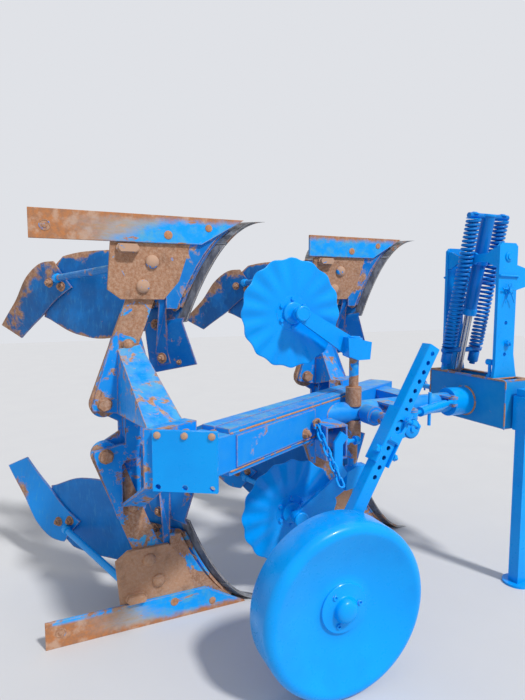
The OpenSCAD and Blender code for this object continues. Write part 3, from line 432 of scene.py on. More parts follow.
# shapes: verts in metres, gathered part by part into one piece
class Shape:
    def __init__(self):
        self.verts = []
        self.faces = []

    def add(self, verts, faces):
        base = len(self.verts)
        self.verts.extend(Vector(v) for v in verts)
        self.faces.extend([tuple(base + i for i in f) for f in faces])

    def lathe(self, place, axis, profile, sides=32, turn=0.0):
        # profile: radius and height in millimetres, from one end on the axis to the other
        z = Vector(axis).normalized()
        x = z.orthogonal().normalized()
        y = z.cross(x)
        rings = []
        verts = []
        for radius, height in profile:
            centre = Vector(place) + z * height / 1000
            if radius < 0.01:
                rings.append([len(verts)])
                verts.append(centre)
                continue
            rings.append(list(range(len(verts), len(verts) + sides)))
            for k in range(sides):
                a = turn + math.tau * k / sides
                verts.append(centre + (x * math.cos(a) + y * math.sin(a)) * radius / 1000)
        faces = []
        for low, high in zip(rings, rings[1:]):
            for k in range(sides):
                n = (k + 1) % sides
                if len(low) == 1 and len(high) > 1:
                    faces.append((low[0], high[k], high[n]))
                elif len(high) == 1 and len(low) > 1:
                    faces.append((low[k], low[n], high[0]))
                elif len(low) > 1:
                    faces.append((low[k], low[n], high[n], high[k]))
        for ring, wanted in ((rings[0], True), (rings[-1], False)):
            if len(ring) > 1:
                faces.append(tuple(reversed(ring)) if wanted else tuple(ring))
        self.add(verts, faces)

    def sweep(self, path, radius, sides=12, closed=False, flat=1.0, radii=None, lay=None):
        # a round bar along a path; flat squeezes its section along lay
        path = [Vector(p) for p in path]
        count = len(path)
        verts = []
        side = None
        for i, p in enumerate(path):
            before = path[i - 1] if i or closed else p
            after = path[(i + 1) % count] if i + 1 < count or closed else p
            along = (after - before).normalized()
            if lay is not None:
                side = Vector(lay) - along * along.dot(Vector(lay))
            elif side is None:
                side = along.orthogonal()
            else:
                side = side - along * along.dot(side)
            side.normalize()
            other = along.cross(side)
            r = (radii[i] if radii else radius) / 1000
            for k in range(sides):
                a = math.tau * (k + 0.5) / sides
                verts.append(p + side * (math.cos(a) * r * flat) + other * (math.sin(a) * r))
        faces = []
        for i in range(count if closed else count - 1):
            n = (i + 1) % count
            for k in range(sides):
                m = (k + 1) % sides
                faces.append((i * sides + k, i * sides + m, n * sides + m, n * sides + k))
        if not closed:
            faces.append(tuple(range(sides - 1, -1, -1)))
            faces.append(tuple((count - 1) * sides + k for k in range(sides)))
        self.add(verts, faces)

    def openEnds(self):
        # a ring turned from a closed profile has no end faces
        self.faces = [f for f in self.faces if len(f) < 5]

    def plate(self, corners, thick):
        # a flat plate: corners in order, and its thickness as a vector in metres
        corners = [Vector(c) for c in corners]
        n = len(corners)
        verts = corners + [c + Vector(thick) for c in corners]
        faces = [tuple(range(n - 1, -1, -1)), tuple(range(n, 2 * n))]
        for k in range(n):
            m = (k + 1) % n
            faces.append((k, m, n + m, n + k))
        self.add(verts, faces)

    def bolt(self, place, axis, across, height=None, washer=0.0, kind="hex", stub=0.0, turn=0.3):
        # head or nut on a face, in millimetres; stub is the thread that stands out of it
        height = height or across * boltForm["height"]
        sink, base = boltForm["sink"], 0.0
        if washer:
            r = across * washer / 2
            base = boltForm["washer"]
            self.lathe(place, axis, [(r, -sink), (r, base - 0.8), (r - 0.7, base), (0, base)], 36)
        if kind == "hex":
            r = across / 2 / math.cos(math.pi / 6)
            self.lathe(place, axis, [(r, base - sink), (r, base + height * boltForm["flat"]),
                                     (r * boltForm["crown"], base + height), (0, base + height)], 6, turn)
        else:
            r = across / 2
            angles = [math.pi / 2 * k / boltForm["domeSteps"] for k in range(boltForm["domeSteps"])]
            foot = boltForm["domeFoot"]
            dome = [(r * math.cos(a), base + height * (foot + (1 - foot) * math.sin(a))) for a in angles]
            self.lathe(place, axis, [(r, base - sink)] + dome + [(0, base + height)], 32)
        if stub:
            r = across * boltForm["stub"]
            top = base + height + stub
            self.lathe(place, axis, [(r, base), (r, top - 1.5), (r - 1.5, top), (0, top)], 20)

    def bead(self, path, size=5.0, seed=1):
        # a weld along a path, with the ripples of its runs
        rng = random.Random(seed)
        points = []
        radii = []
        path = [Vector(p) for p in path]
        for a, b in zip(path, path[1:]):
            steps = max(2, int((b - a).length / beadForm["step"]))
            for k in range(steps):
                points.append(a + (b - a) * k / steps)
                ripple = beadForm["swell"] * math.sin(len(points) * beadForm["pace"])
                radii.append(size * (1 + ripple + rng.uniform(-beadForm["chance"], beadForm["chance"])))
        points.append(path[-1])
        radii.append(size * beadForm["end"])
        radii[0] = size * beadForm["end"]
        self.sweep(points, size, 8, radii=radii)

    def make(self, name, finish, slotName, body, smooth=38, bevel=0.0):
        return piece(name, self.verts, self.faces, finish, body, smooth, bevel)


# making of pieces
sharpTurn = 28
weldGap = 0.00002
fineGap = 0.00001


def piece(name, verts, faces, finish, body, smooth=35, bevel=0.0, merge=0.0, marks=None):
    mesh = bpy.data.meshes.new(name)
    mesh.from_pydata([tuple(v) for v in verts], [], faces)
    for key, values in (marks or {}).items():
        mesh.attributes.new(key, "FLOAT", "POINT").data.foreach_set("value", values)
    return meshPiece(name, mesh, finish, body, smooth, bevel, merge, True)


def meshPiece(name, mesh, finish, body, smooth, bevel, merge, dense):
    # bevels every edge that turns more than sharpTurn; where not dense, flat faces are joined first
    work = bmesh.new()
    work.from_mesh(mesh)
    if merge:
        bmesh.ops.remove_doubles(work, verts=work.verts, dist=merge)
    if bevel and not dense:
        bmesh.ops.dissolve_limit(work, angle_limit=math.radians(1.0), verts=work.verts, edges=work.edges)
    if bevel:
        sharp = [e for e in work.edges
                 if len(e.link_faces) == 2 and e.calc_face_angle(0) > math.radians(sharpTurn)]
        bmesh.ops.bevel(work, geom=sharp, offset=bevel, offset_type="OFFSET", segments=2,
                        profile=0.6, affect="EDGES", clamp_overlap=True)
        bmesh.ops.triangulate(work, faces=[f for f in work.faces if len(f.verts) > 4])
    bmesh.ops.recalc_face_normals(work, faces=work.faces)
    work.to_mesh(mesh)
    work.free()
    mesh.shade_smooth()
    mesh.set_sharp_from_angle(angle=math.radians(smooth))
    made = bpy.data.objects.new(name, mesh)
    scene.collection.objects.link(made)
    if bevel:
        even = made.modifiers.new("evenShading", "WEIGHTED_NORMAL")
        even.keep_sharp = True
    mesh.materials.append(finishes[finish])
    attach(made, body)
    return made


def softened(node, finish, body, width=1.5, hollow=False):
    # the node's own shape with its corners rounded as on rolled and cut steel
    mesh = frame["nodes"][node].data.copy()
    made = meshPiece(node + "Steel", mesh, finish, body, 40, width / 1000, weldGap, hollow)
    while len(mesh.materials) > 1:
        mesh.materials.pop(index=0)
    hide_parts(node)
    return made


slots = {}
for entry in frame["record"]["subparts"]:
    slots[entry["node"]] = entry["material_slot"]
bodyOf = {}
for bodyName, members in frame["record"]["behaviour"]["bodies"].items():
    for member in members:
        bodyOf[member] = bodyName

finishOf = {
    "paint": "gloss", "worn_paint": "beam", "rusty_steel": "frogs", "worn_steel": "landside",
    "board_paint": "boards", "rod_steel": "rod",
}
ownFinish = {
    "cross_trough": "trough", "rear_bracket": "bracket", "front_bracket": "bracket", "crank": "bracket",
    # the cylinder takes the darker gloss, a painted shade
    "spindle_lugs": "bracket", "coulter_stems": "stems", "turn_cylinder": "springBluePaintedShade",
}
# nodes that pieces made further below replace
ownPieces = ("mouldboard_", "share_", "tail_", "disc_", "depth_wheel", "wheel_arm", "wheel_leg",
             "return_springs", "tower_bridge")
for node in frame["nodes"]:
    if node.startswith("leg_"):
        ownFinish[node] = "legs"
    if node.startswith("cover_"):
        ownFinish[node] = "covers"
    if node.startswith("frog_"):
        ownFinish[node] = "webs" if node.endswith("upper") else "legs"
edgeWidth = {"main_beam": 3.5, "rear_bracket": 2, "front_bracket": 2, "cross_trough": 2, "wheel_leg": 4,
             "end_flange": 1.2}
for node in sorted(frame["nodes"]):
    if not node.startswith(ownPieces):
        finish = ownFinish.get(node, finishOf[slots[node]])
        softened(node, finish, bodyOf[node], edgeWidth.get(node, 1.5), node == "main_beam")
print("nodes dressed:", len(frame["nodes"]))


# ploughing bodies: the working surface is drawn by straight lines that turn outward as they rise
curve = {"point": 892, "shin": 25.7, "power": 0.437, "turnLow": 42, "turnRise": 13, "turnHeight": 420,
         "shinGap": 4, "easing": 0.025}
boardShape = {
    "low": 100.3, "thick": 8, "height": 474, "rows": 34, "columns": 52,
    "top": [(0, 0.816), (130, 0.876), (260, 0.938), (372, 0.981), (457, 1.0), (549, 0.979), (637, 0.949),
            (710, 0.890), (770, 0.840), (815, 0.802)],
    "rise": [(0, 0), (560, 0), (640, 0.5), (710, 5), (765, 17), (815, 30)],
    "end": [(0, 765), (0.06, 786), (0.13, 796), (0.4, 803), (0.75, 811), (1, 815)],
}
shareShape = {"height": 99.7, "length": 500, "thick": 11, "thin": 0.8, "rake": 0.5, "rowPower": 1.6,
              "rows": 14, "columns": 40, "bevel": 0.0006}
stripShape = {
    "thick": 8, "gap": 9.2, "rows": 9, "columns": 44, "bevel": 0.0014,
    "rowsOfEdges": [(655, 255, 806, 140), (735, 307, 880, 148), (815, 376, 943, 205), (899, 432, 1005, 312),
                    (983, 486, 1126, 426)],
}
# how far in from each rim the rust and the scouring reach, in millimetres, and how strong they are
wear = {"low": 46, "lowFrom": 350, "lowFade": 200, "end": 40, "top": 30, "topShare": 0.6, "shinBack": 110,
        "shinFront": 330, "seam": 200, "bare": 0.62, "stripShare": 0.55, "stripFrom": 900, "stripFade": 150,
        "stripRust": 0.8}


def face(s, z):
    # the working surface: s along it from the shin, z up from the sole
    turn = math.radians(curve["turnLow"] + curve["turnRise"] * z / curve["turnHeight"])
    x = curve["point"] - curve["shin"] * z ** curve["power"]
    return Vector((x - s * math.cos(turn), s * math.sin(turn), z))


def frontOf(s, z):
    return (face(s + 1, z) - face(s, z)).cross(face(s, z + 1) - face(s, z)).normalized()


def back(s, z, depth):
    return face(s, z) - frontOf(s, z) * depth


def lookUp(table, x):
    # straight between the table's rows, then eased by a short average
    def straight(v):
        v = min(max(v, table[0][0]), table[-1][0])
        for (x0, y0), (x1, y1) in zip(table, table[1:]):
            if v <= x1:
                return y0 + (y1 - y0) * (v - x0) / (x1 - x0)
    reach = (table[-1][0] - table[0][0]) * curve["easing"]
    return sum(straight(x + reach * k) for k in (-2, -1, 0, 1, 2)) / 5


def skin(name, rows, columns, place, depth, finish, node, bevel=0.0016, first=0.0, near=None):
    # a closed sheet between the working surface, or first behind it, and depth more behind that
    front, upper = "_front_" in node, node.endswith("_upper")
    verts = []
    marks = {"rimNear": [], "shinNear": []}
    for layer in (0, 1):
        for i in range(rows):
            for j in range(columns):
                s, z = place(i / (rows - 1), j / (columns - 1))
                rimNear, shinNear = near(i / (rows - 1), s, z, layer) if near else (0, 0)
                marks["rimNear"].append(rimNear)
                marks["shinNear"].append(shinNear)
                d = first + (depth(z) if layer else 0)
                verts.append(onBody(front, upper, *back(s, z, d)))
    n = rows * columns
    faces = []
    for i in range(rows - 1):
        for j in range(columns - 1):
            a = i * columns + j
            faces.append((a, a + 1, a + columns + 1, a + columns))
            faces.append((n + a, n + a + columns, n + a + columns + 1, n + a + 1))
    rim = list(range(columns)) + [i * columns + columns - 1 for i in range(1, rows)]
    rim += [(rows - 1) * columns + j for j in range(columns - 2, -1, -1)]
    rim += [i * columns for i in range(rows - 2, 0, -1)]
    for a, b in zip(rim, rim[1:] + rim[:1]):
        faces.append((a, n + a, n + b, b))
    made = piece(name, verts, faces, finish, bodyOf[node], 50, bevel, marks=marks)
    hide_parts(node)
    return made


def boardPlace(u, v):
    s = curve["shinGap"] + (lookUp(boardShape["end"], u) - curve["shinGap"]) * v
    low = boardShape["low"] + lookUp(boardShape["rise"], s)
    return s, low + (boardShape["height"] * lookUp(boardShape["top"], s) - low) * u


def sharePlace(u, v):
    z = 1 + (shareShape["height"] - 1) * u ** shareShape["rowPower"]
    return curve["shinGap"] + (shareShape["length"] - curve["shinGap"] - shareShape["rake"] * z) * v, z


def stripPlace(u, v):
    rows = stripShape["rowsOfEdges"]
    t = v * (len(rows) - 1)
    i = min(int(t), len(rows) - 2)
    f = t - i
    a, b, c, d = (rows[max(0, min(len(rows) - 1, k))] for k in (i - 1, i, i + 1, i + 2))
    q = [b[k] + f / 2 * ((c[k] - a[k]) + f * (2 * a[k] - 5 * b[k] + 4 * c[k] - d[k]
         + f * (3 * b[k] - a[k] - 3 * c[k] + d[k]))) for k in range(4)]
    return q[2] + (q[0] - q[2]) * u, q[3] + (q[1] - q[3]) * u


def boardNear(u, s, z, layer):
    # rust follows the rear edges; the shin and the share's seam are scoured, more so in front
    end = lookUp(boardShape["end"], u)
    height = boardShape["height"]
    low = max(0, 1 - height * u / wear["low"]) * min(1, max(0, (s - wear["lowFrom"]) / wear["lowFade"]))
    top = wear["topShare"] * max(0, 1 - height * (1 - u) / wear["top"])
    rim = max(low, max(0, 1 - (end - s) / wear["end"]), top)
    if layer:
        shin = max(0, 1 - s / wear["shinBack"])
    else:
        shin = max(0, 1 - s / wear["shinFront"], 1 - (z - 100) / wear["seam"])
    return rim, wear["bare"] * min(1, shin * 1.5)


def stripNear(u, s, z, layer):
    # u runs over the strip's width, from its outer edge to the one that laps the board
    end = min(1, max(0, (s - wear["stripFrom"]) / wear["stripFade"]))
    return max(0, 1 - u / wear["stripShare"], end * wear["stripRust"]), 0


# the four ploughing bodies: ahead or not, upper or not, and how their nodes' names end
bodies = [(front, upper, ("front" if front else "rear") + ("_upper" if upper else "_lower"))
          for front in (False, True) for upper in (False, True)]
for front, upper, tag in bodies:
    # the upper boards and strips take the darker finish, a painted shade
    skin("boardOf_" + tag, boardShape["rows"], boardShape["columns"], boardPlace,
         lambda z: boardShape["thick"], "dirtyShadedBoards" if upper else "boards", "mouldboard_" + tag,
         near=boardNear)
    skin("shareOf_" + tag, shareShape["rows"], shareShape["columns"], sharePlace,
         lambda z: min(shareShape["thick"], shareShape["thin"] * z), "shares", "share_" + tag,
         shareShape["bevel"])
    skin("stripOf_" + tag, stripShape["rows"], stripShape["columns"], stripPlace,
         lambda z: stripShape["thick"], "dirtyShadedStrips" if upper else "strips", "tail_" + tag,
         stripShape["bevel"], stripShape["gap"], stripNear)
print("ploughing surfaces made")

# stays from the frogs to the strips, with clamped ends
stay = {
    "from": (271, 32.2, 194), "to": (745, 215), "depth": 32.2, "radius": 14, "steps": 12, "sides": 24,
    "clamp": ((34, 15), (30, 19), (6, 19), (2, 15)),      # distance from the head, and radius
    "seatDepth": 17.2, "nut": [(22, -1), (22, 5), (17, 15), (0, 17)],
}
for front, upper, tag in bodies:
    foot = Vector(stay["from"])
    head = back(*stay["to"], stay["depth"])
    way = (head - foot).normalized()
    rod = Shape()
    steps = [foot + (head - foot) * k / stay["steps"] for k in range(stay["steps"] + 1)]
    rod.sweep([onBody(front, upper, *p) for p in steps], stay["radius"], stay["sides"])
    rod.make("stay_" + tag, "covers" if upper else "glossChipped", "board_paint", "turning_frame")
    clamp = Shape()
    clamp.sweep([onBody(front, upper, *(head - way * d)) for d, r in stay["clamp"]], stay["radius"],
                stay["sides"], radii=[r for d, r in stay["clamp"]])
    base = back(*stay["to"], stay["seatDepth"])
    seat = onBody(front, upper, *base)
    out = onBody(front, upper, *(base - frontOf(*stay["to"]) * 100)) - seat
    clamp.lathe(seat, out, stay["nut"], stay["sides"])
    clamp.make("stayClamp_" + tag, "blueBolts", "board_paint", "turning_frame")

# bolts of one body: place in the body's frame, way it points, size, and kind and group where not plain
toRight, toLeft = (0, -1, 0), (0, 1, 0)
bodyBolts = [
    {"at": (378, 12, 257), "way": toRight, "across": 50, "high": 17, "kind": "round", "group": "frogs"},
    {"at": (413, 12, 168), "way": toRight, "across": 50, "high": 17, "kind": "round", "group": "frogs"},
    {"at": (378, 57.4, 257), "way": toLeft, "across": 38, "high": 20, "washer": 1.5, "stub": 9},
    {"at": (413, 57.4, 168), "way": toLeft, "across": 38, "high": 20, "washer": 1.5, "stub": 9},
    {"at": (230, 10.7, 683), "way": toRight, "across": 42, "high": 19, "washer": 1.3},
    {"at": (230, 73.7, 683), "way": toLeft, "across": 42, "high": 22, "washer": 1.5, "stub": 10},
    {"at": (322, 27, 474), "way": toRight, "across": 40, "high": 18, "washer": 1.2, "kind": "round"},
    {"at": (322, 73.7, 474), "way": toLeft, "across": 36, "high": 19, "washer": 1.5, "stub": 9},
    {"at": (472, 0.2, 70), "way": toRight, "across": 32, "high": 4, "kind": "round", "group": "orange"},
    {"at": (628, 0.2, 38), "way": toRight, "across": 28, "high": 4, "kind": "round", "group": "orange"},
    {"at": (472, 27.2, 70), "way": toLeft, "across": 30, "high": 15, "washer": 1.5, "stub": 7},
]
# nuts on a sheet's back: place along and up, depth behind the working surface, size
sheetBolts = [
    (66, 338, 24.9, 26), (62, 288, 24.9, 26), (66, 226, 24.9, 26), (190, 330, 24.9, 26), (262, 250, 24.9, 26),
    (350, 62, 11, 26), (110, 80, 24.9, 24), (235, 80, 24.9, 24), (428, 62, 11, 26), (716, 250, 17.2, 28),
    (792, 232, 17.2, 28),
]
sheetNut = {"high": 13, "washer": 1.55, "stub": 8}
# their heads lie flush in front, only on the board and the share
flushHead = {"upTo": 760, "sides": 28,
             "profile": [(15, -0.6), (15, 0.5), (14.2, 1.0), (6, 1.0), (5, 0.2), (0, 0.2)]}
# the frog's plate, flame cut, stands a little proud of its web
frogPlate = {"y": 11.3, "thick": 0.0161, "bevel": 0.0016,
             "outline": ((272.4, 21.5), (251.4, 269.3), (298.8, 304.6), (455.3, 305.6), (513.6, 237.3),
                         (553.6, 118.2), (570.6, 21.5))}
# oval lug beside the frog's lower bolt, in two steps of reach and y
frogLug = {"x": 325, "z": 121, "steps": ((1.0, 12), (0.86, -5)), "thick": 0.013,
           "outline": ((-41, -4), (-33, -15), (33, -15), (41, -4), (41, 4), (31, 17), (-31, 17), (-41, 4))}
heelPlug = {"at": (52, 0.5, 56), "sides": 32,
            "profile": [(19, -1), (19, 1.6), (15.5, 2.4), (14.5, 1.0), (9, 1.0), (8.4, 2.6), (0, 3.2)]}
cover = {"low": (15, 186), "way": Vector((0.8, 0.6, 0)), "topIn": (580, 10, 555), "topOut": (436, 160, 600),
         "rise": 5, "behind": 11}
# nuts behind the cover and heads before it; those under its foot go through the board alone
coverBolts = [
    {"across": 0.66, "up": 0.70, "wide": 40, "nutOff": 14, "headOff": 0},
    {"across": 0.74, "under": 12, "wide": 40, "nutOff": 5.5, "headOff": 10.5},
    {"across": 0.34, "up": 0.86, "wide": 22, "nutOff": 5.5, "headOff": 0},
]
boltGroups = {"boltRust": ("bolts", "rusty_steel"), "frogs": ("sandyFrogs", "rusty_steel"),
              "orange": ("orangeBolts", "worn_steel"), "flush": ("shares", "worn_steel")}


def topEdge(s):
    return boardShape["height"] * lookUp(boardShape["top"], s)


def onCover(across, up):
    a, b = (back(s, topEdge(s) + cover["rise"], cover["behind"]) for s in cover["low"])
    c, d = Vector(cover["topIn"]), Vector(cover["topOut"])
    return (a + (b - a) * across) * (1 - up) + (c + (d - c) * across) * up


def underCover(across, under):
    s = cover["low"][0] + (cover["low"][1] - cover["low"][0]) * across
    return back(s, topEdge(s) - under, cover["behind"])


for front, upper, tag in bodies:
    def put(spot):
        return onBody(front, upper, *spot)

    def aim(way):
        return Vector((way[0], way[1], -way[2] if upper else way[2]))

    groups = {key: Shape() for key in boltGroups}
    for b in bodyBolts:
        groups[b.get("group", "boltRust")].bolt(
            put(b["at"]), aim(b["way"]), b["across"], b["high"], b.get("washer", 0), b.get("kind", "hex"),
            b.get("stub", 0), 0.3 + b["at"][0] * 0.37)
    for s, z, depth, across in sheetBolts:
        normal = frontOf(s, z)
        groups["boltRust"].bolt(put(back(s, z, depth)), aim(-normal), across, sheetNut["high"],
                                sheetNut["washer"], "hex", sheetNut["stub"], s * 0.7)
        if s < flushHead["upTo"]:
            groups["flush"].lathe(put(face(s, z)), aim(normal), flushHead["profile"], flushHead["sides"])
    shape = Shape()
    shape.plate([put((x, frogPlate["y"], z)) for x, z in frogPlate["outline"]],
                aim((0, frogPlate["thick"], 0)))
    shape.make("frogPlate_" + tag, "frogs" if upper else "sandyFrogs", "rusty_steel", "turning_frame",
               bevel=frogPlate["bevel"])
    for reach, y in frogLug["steps"]:
        groups["frogs"].plate([put((frogLug["x"] + dx * reach, y, frogLug["z"] + dz * reach))
                               for dx, dz in frogLug["outline"]], aim((0, -frogLug["thick"], 0)))
    if not front:
        shape = Shape()
        shape.lathe(put(heelPlug["at"]), aim(toRight), heelPlug["profile"], heelPlug["sides"])
        shape.make("heelPlug_" + tag, "legs", "worn_steel", "turning_frame")
    for b in coverBolts:
        wide = b["wide"]
        spot = underCover(b["across"], b["under"]) if "under" in b else onCover(b["across"], b["up"])
        groups["boltRust"].bolt(put(spot - cover["way"] * b["nutOff"]), aim(-cover["way"]), wide * 0.62,
                                wide * 0.3, 1.75, "hex", 6)
        groups["flush"].lathe(put(spot + cover["way"] * b["headOff"]), aim(cover["way"]),
                              [(wide * 0.34, -0.8), (wide * 0.34, 3), (wide * 0.2, 6), (0, 7)], 24)
    for key, (finish, slotName) in boltGroups.items():
        finish = "paleBolts" if key == "frogs" and upper else finish
        groups[key].make("bolts_" + key + "_" + tag, finish, slotName, "turning_frame")
print("body bolts made")

# wavy coulter discs, with flutes that deepen outward and a scalloped rim
disc = {
    "x": 974, "y": -20, "reach": 419, "radius": 225, "thick": 5, "waves": 16, "sides": 288, "flute": 3.4,
    "fluteFrom": 0.40, "fluteFull": 0.85, "scallop": 4, "scallopFrom": 0.8, "rimShare": 0.35,
    "rings": (0.18, 0.30, 0.40, 0.46, 0.52, 0.58, 0.64, 0.70, 0.76, 0.82, 0.88, 0.93, 0.965, 0.99, 1.0),
}
discHub = {
    "back": 0.021, "sides": 48, "bolts": 6, "circle": 58, "boltFace": 3.4, "across": 15,
    "profile": [(12.2, 0), (40, 0), (44, 3), (45, 8), (46, 16), (70, 17.5), (71, 19), (71, 23), (70, 24.5),
                (46, 26), (45, 32), (42, 38), (36, 41), (12.2, 41)],
    "nearCap": [(22, -2), (22, 3), (19, 9), (11, 12), (0, 13)], "nearAt": 0.0195,
    "farCap": [(31, -1), (31, 4), (29, 6.5), (25, 7.5), (24.4, 6.6), (0, 7)], "farAt": -0.094,
}
for lower in (False, True):
    node = "disc_lower" if lower else "disc_upper"
    sign = -1 if lower else 1
    middle = at(disc["x"], disc["y"], plough["axisHeight"] + sign * disc["reach"])
    verts = []
    for layer in (-1, 1):
        for f in disc["rings"]:
            grow = min(max((f - disc["fluteFrom"]) / (disc["fluteFull"] - disc["fluteFrom"]), 0), 1)
            grow = grow * grow * (3 - 2 * grow)
            notch = disc["scallop"] * max(0, (f - disc["scallopFrom"]) / (1 - disc["scallopFrom"]))
            half = (disc["rimShare"] if f == 1.0 else 1) * disc["thick"] / 2
            for k in range(disc["sides"]):
                a = math.tau * k / disc["sides"]
                r = disc["radius"] * f - (1 - math.cos(disc["waves"] * a)) * notch
                y = disc["flute"] * grow * math.sin(disc["waves"] * a) + layer * half
                verts.append(middle + Vector((r * math.cos(a), y, sign * r * math.sin(a))) / 1000)
    n, rings = disc["sides"], len(disc["rings"])
    second = rings * n
    faces = []
    for i in range(rings - 1):
        for k in range(n):
            m = (k + 1) % n
            this, past = i * n, (i + 1) * n
            faces.append((this + k, past + k, past + m, this + m))
            faces.append((second + this + k, second + this + m, second + past + m, second + past + k))
    for k in range(n):
        m = (k + 1) % n
        faces.append((second - n + k, 2 * second - n + k, 2 * second - n + m, second - n + m))
        faces.append((k, m, second + m, second + k))
    made = piece("waveOf_" + node, verts, faces, "gloss", bodyOf[node], 50)
    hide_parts(node)
    hub = Shape()
    hub.lathe(middle - Vector((0, discHub["back"], 0)), toLeft, discHub["profile"], discHub["sides"])
    for k in range(discHub["bolts"]):
        a = math.tau * (k + 0.5) / discHub["bolts"]
        spot = middle + Vector((math.cos(a), 0, math.sin(a))) * discHub["circle"] / 1000
        plateFace = Vector((0, discHub["boltFace"] / 1000, 0))
        hub.bolt(spot - plateFace, toRight, discHub["across"], 8)
        hub.bolt(spot + plateFace, toLeft, discHub["across"], 9, 0, "hex", 4)
    hub.make("hubOf_" + node, "blueBolts", "paint", bodyOf[node])
    cap = Shape()
    cap.lathe(middle + Vector((0, discHub["nearAt"], 0)), toLeft, discHub["nearCap"], 32)
    cap.lathe(middle + Vector((0, discHub["farAt"], 0)), toRight, discHub["farCap"], 40)
    cap.make("armCap_" + node, "blueBolts", "paint", "coulter_lower" if lower else "coulter_upper")
print("discs made")

# depth wheel, turned from radius and depth behind its outer plane
wheel = {
    "x": 861, "radius": 287.5, "width": 125, "sides": 176, "round": 30, "roundSteps": 9, "sheet": 6,
    "faceY": -647.5, "bore": (20.1, 44),
    "dish": [(42, 44), (44, 41), (74, 40), (78, 41), (82, 46), (90, 49), (110, 46.5), (150, 37), (190, 24),
             (222, 12.5), (240, 6), (250, 2)],
    "inside": [(240, 12.5), (222, 18.5), (190, 30), (150, 43), (110, 52), (90, 55), (60, 57), (20.1, 57)],
    "hubDepth": 41, "plugs": 3, "plugCircle": 57, "sleeveIn": 0.012,
    "hubCap": [(82, -3), (82, 0.5), (80, 2.5), (46, 4.5), (42, 7), (40.5, 10), (40, 15), (38, 22), (34, 28),
               (28, 32.5), (20, 35.5), (10, 37.2), (0, 37.8)],
    "sleeve": [(20.2, 0), (46, 0), (46, 50), (42, 54), (20.2, 54)],
    "plug": [(8.5, -1), (8.5, 4), (7.5, 5), (5.2, 5), (4.6, 4), (4.6, -1.5), (0, -1.5)],
}
treadInner = wheel["radius"] - wheel["sheet"]
corner = []
for k in range(wheel["roundSteps"] + 1):
    a = math.pi / 2 * k / wheel["roundSteps"]
    corner.append((wheel["radius"] - wheel["round"] * (1 - math.sin(a)), wheel["round"] * (1 - math.cos(a))))
outer = wheel["dish"] + corner + [(wheel["radius"], wheel["width"] - 2),
                                  (wheel["radius"] - 1, wheel["width"]), (treadInner, wheel["width"])]
inner = [(min(r - wheel["sheet"] if d > 20 else r - 4, treadInner), d + wheel["sheet"] * 0.8)
         for r, d in reversed(corner)]
profile = [wheel["bore"]] + outer + [(treadInner, 36)] + inner[1:] + wheel["inside"] + [wheel["bore"]]
rim = Shape()
rim.lathe(at(wheel["x"], wheel["faceY"], wheel["radius"]), toLeft, profile, wheel["sides"])
rim.openEnds()
made = piece("rollingWheel", rim.verts, rim.faces, "gloss", "depth_wheel", 40, 0, fineGap)
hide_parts("depth_wheel")
hub = Shape()
hubAt = at(wheel["x"], wheel["faceY"] + wheel["hubDepth"], wheel["radius"])
hub.lathe(hubAt, toRight, wheel["hubCap"], 56)
hub.lathe(hubAt + Vector((0, wheel["sleeveIn"], 0)), toLeft, wheel["sleeve"], 48)
for k in range(wheel["plugs"]):
    a = math.tau * (k + 0.07) / wheel["plugs"]
    spot = Vector((wheel["plugCircle"] * math.cos(a), -3.6, wheel["plugCircle"] * math.sin(a))) / 1000
    hub.lathe(hubAt + spot, toRight, wheel["plug"], 24)
hub.make("wheelHub", "blueBolts", "paint", "depth_wheel")
print("depth wheel made")

# return springs: a smooth wire on a helix; y and z of the tower's pivot
coil = {
    "x": 1923, "z": 1440, "foot": (140, 660), "off": 86, "radius": 26.5, "wire": 6.5, "low": -422.7,
    "length": 598.4, "turns": 32, "steps": 26, "sides": 10, "closeUp": 0.012, "keep": 0.742, "hold": 181,
}
tilt = math.atan2(*coil["foot"])


def onCylinder(x, y, z):
    # from the cylinder's pivot: forward, sideways and up along the slanting cylinder
    c, t = math.cos(tilt), math.sin(tilt)
    return at(coil["x"] + x, plough["axisY"] + y * c - z * t, coil["z"] + y * t + z * c)


lengthwise = onCylinder(0, 0, 1) - onCylinder(0, 0, 0)
springs = Shape()
for side in (-1, 1):
    path = []
    for k in range(coil["turns"] * coil["steps"] + 1):
        part = k / coil["steps"] / coil["turns"]
        # the end coils close up on the bars
        eased = part - coil["closeUp"] * math.sin(math.tau * part)
        a = math.tau * k / coil["steps"]
        path.append(onCylinder(side * coil["off"] + coil["radius"] * math.cos(a),
                               coil["radius"] * math.sin(a), coil["low"] + coil["length"] * eased))
    springs.sweep(path, coil["wire"], coil["sides"])
# the springs take the darker gloss, a painted shade
made = springs.make("coilSprings", "springBluePaintedShade", "paint", "turn_cylinder", 60)
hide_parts("return_springs")
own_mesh(made)

# seats of the springs: height along the cylinder, and profile
seats = {
    "capAt": 205, "cap": [(19, -4), (19, 0.6), (18, 1.4), (11, 1.6), (11, 3.6), (9, 4.4), (0, 4.4)],
    "dishAt": 180.5, "dish": [(33, -1), (33, 3), (31, 4), (8, 4)],
    "nutAt": -452, "plateAt": -428.2, "plate": [(33, -1), (33, 0.2), (8, 0.2)],
    "eyeOut": 15.2, "eye": [(20, -1), (20, 3), (16, 4), (16, 10), (14, 12), (0, 12)],
    "bootAt": -450, "boot": [(15, 0), (24, 1), (25, 3), (25, 50), (23, 53), (14, 54), (14, 66), (0, 66)],
    "barAt": -440, "barLength": 238, "barRadius": 12.6,
    "glandAt": -266, "gland": [(18.3, 0), (31, 0), (34, 2), (34, 30), (32, 32), (30, 32)],
    "topAt": 202, "top": [(30, -8), (33, -6), (33, 1), (29, 3), (0, 3.2)],
    "portsAt": (-215, 150), "portOut": 28, "port": [(14, -3), (14, 8), (12, 10), (9, 10), (9, 14), (0, 14)],
}
upperSeats, lowerSeats = Shape(), Shape()
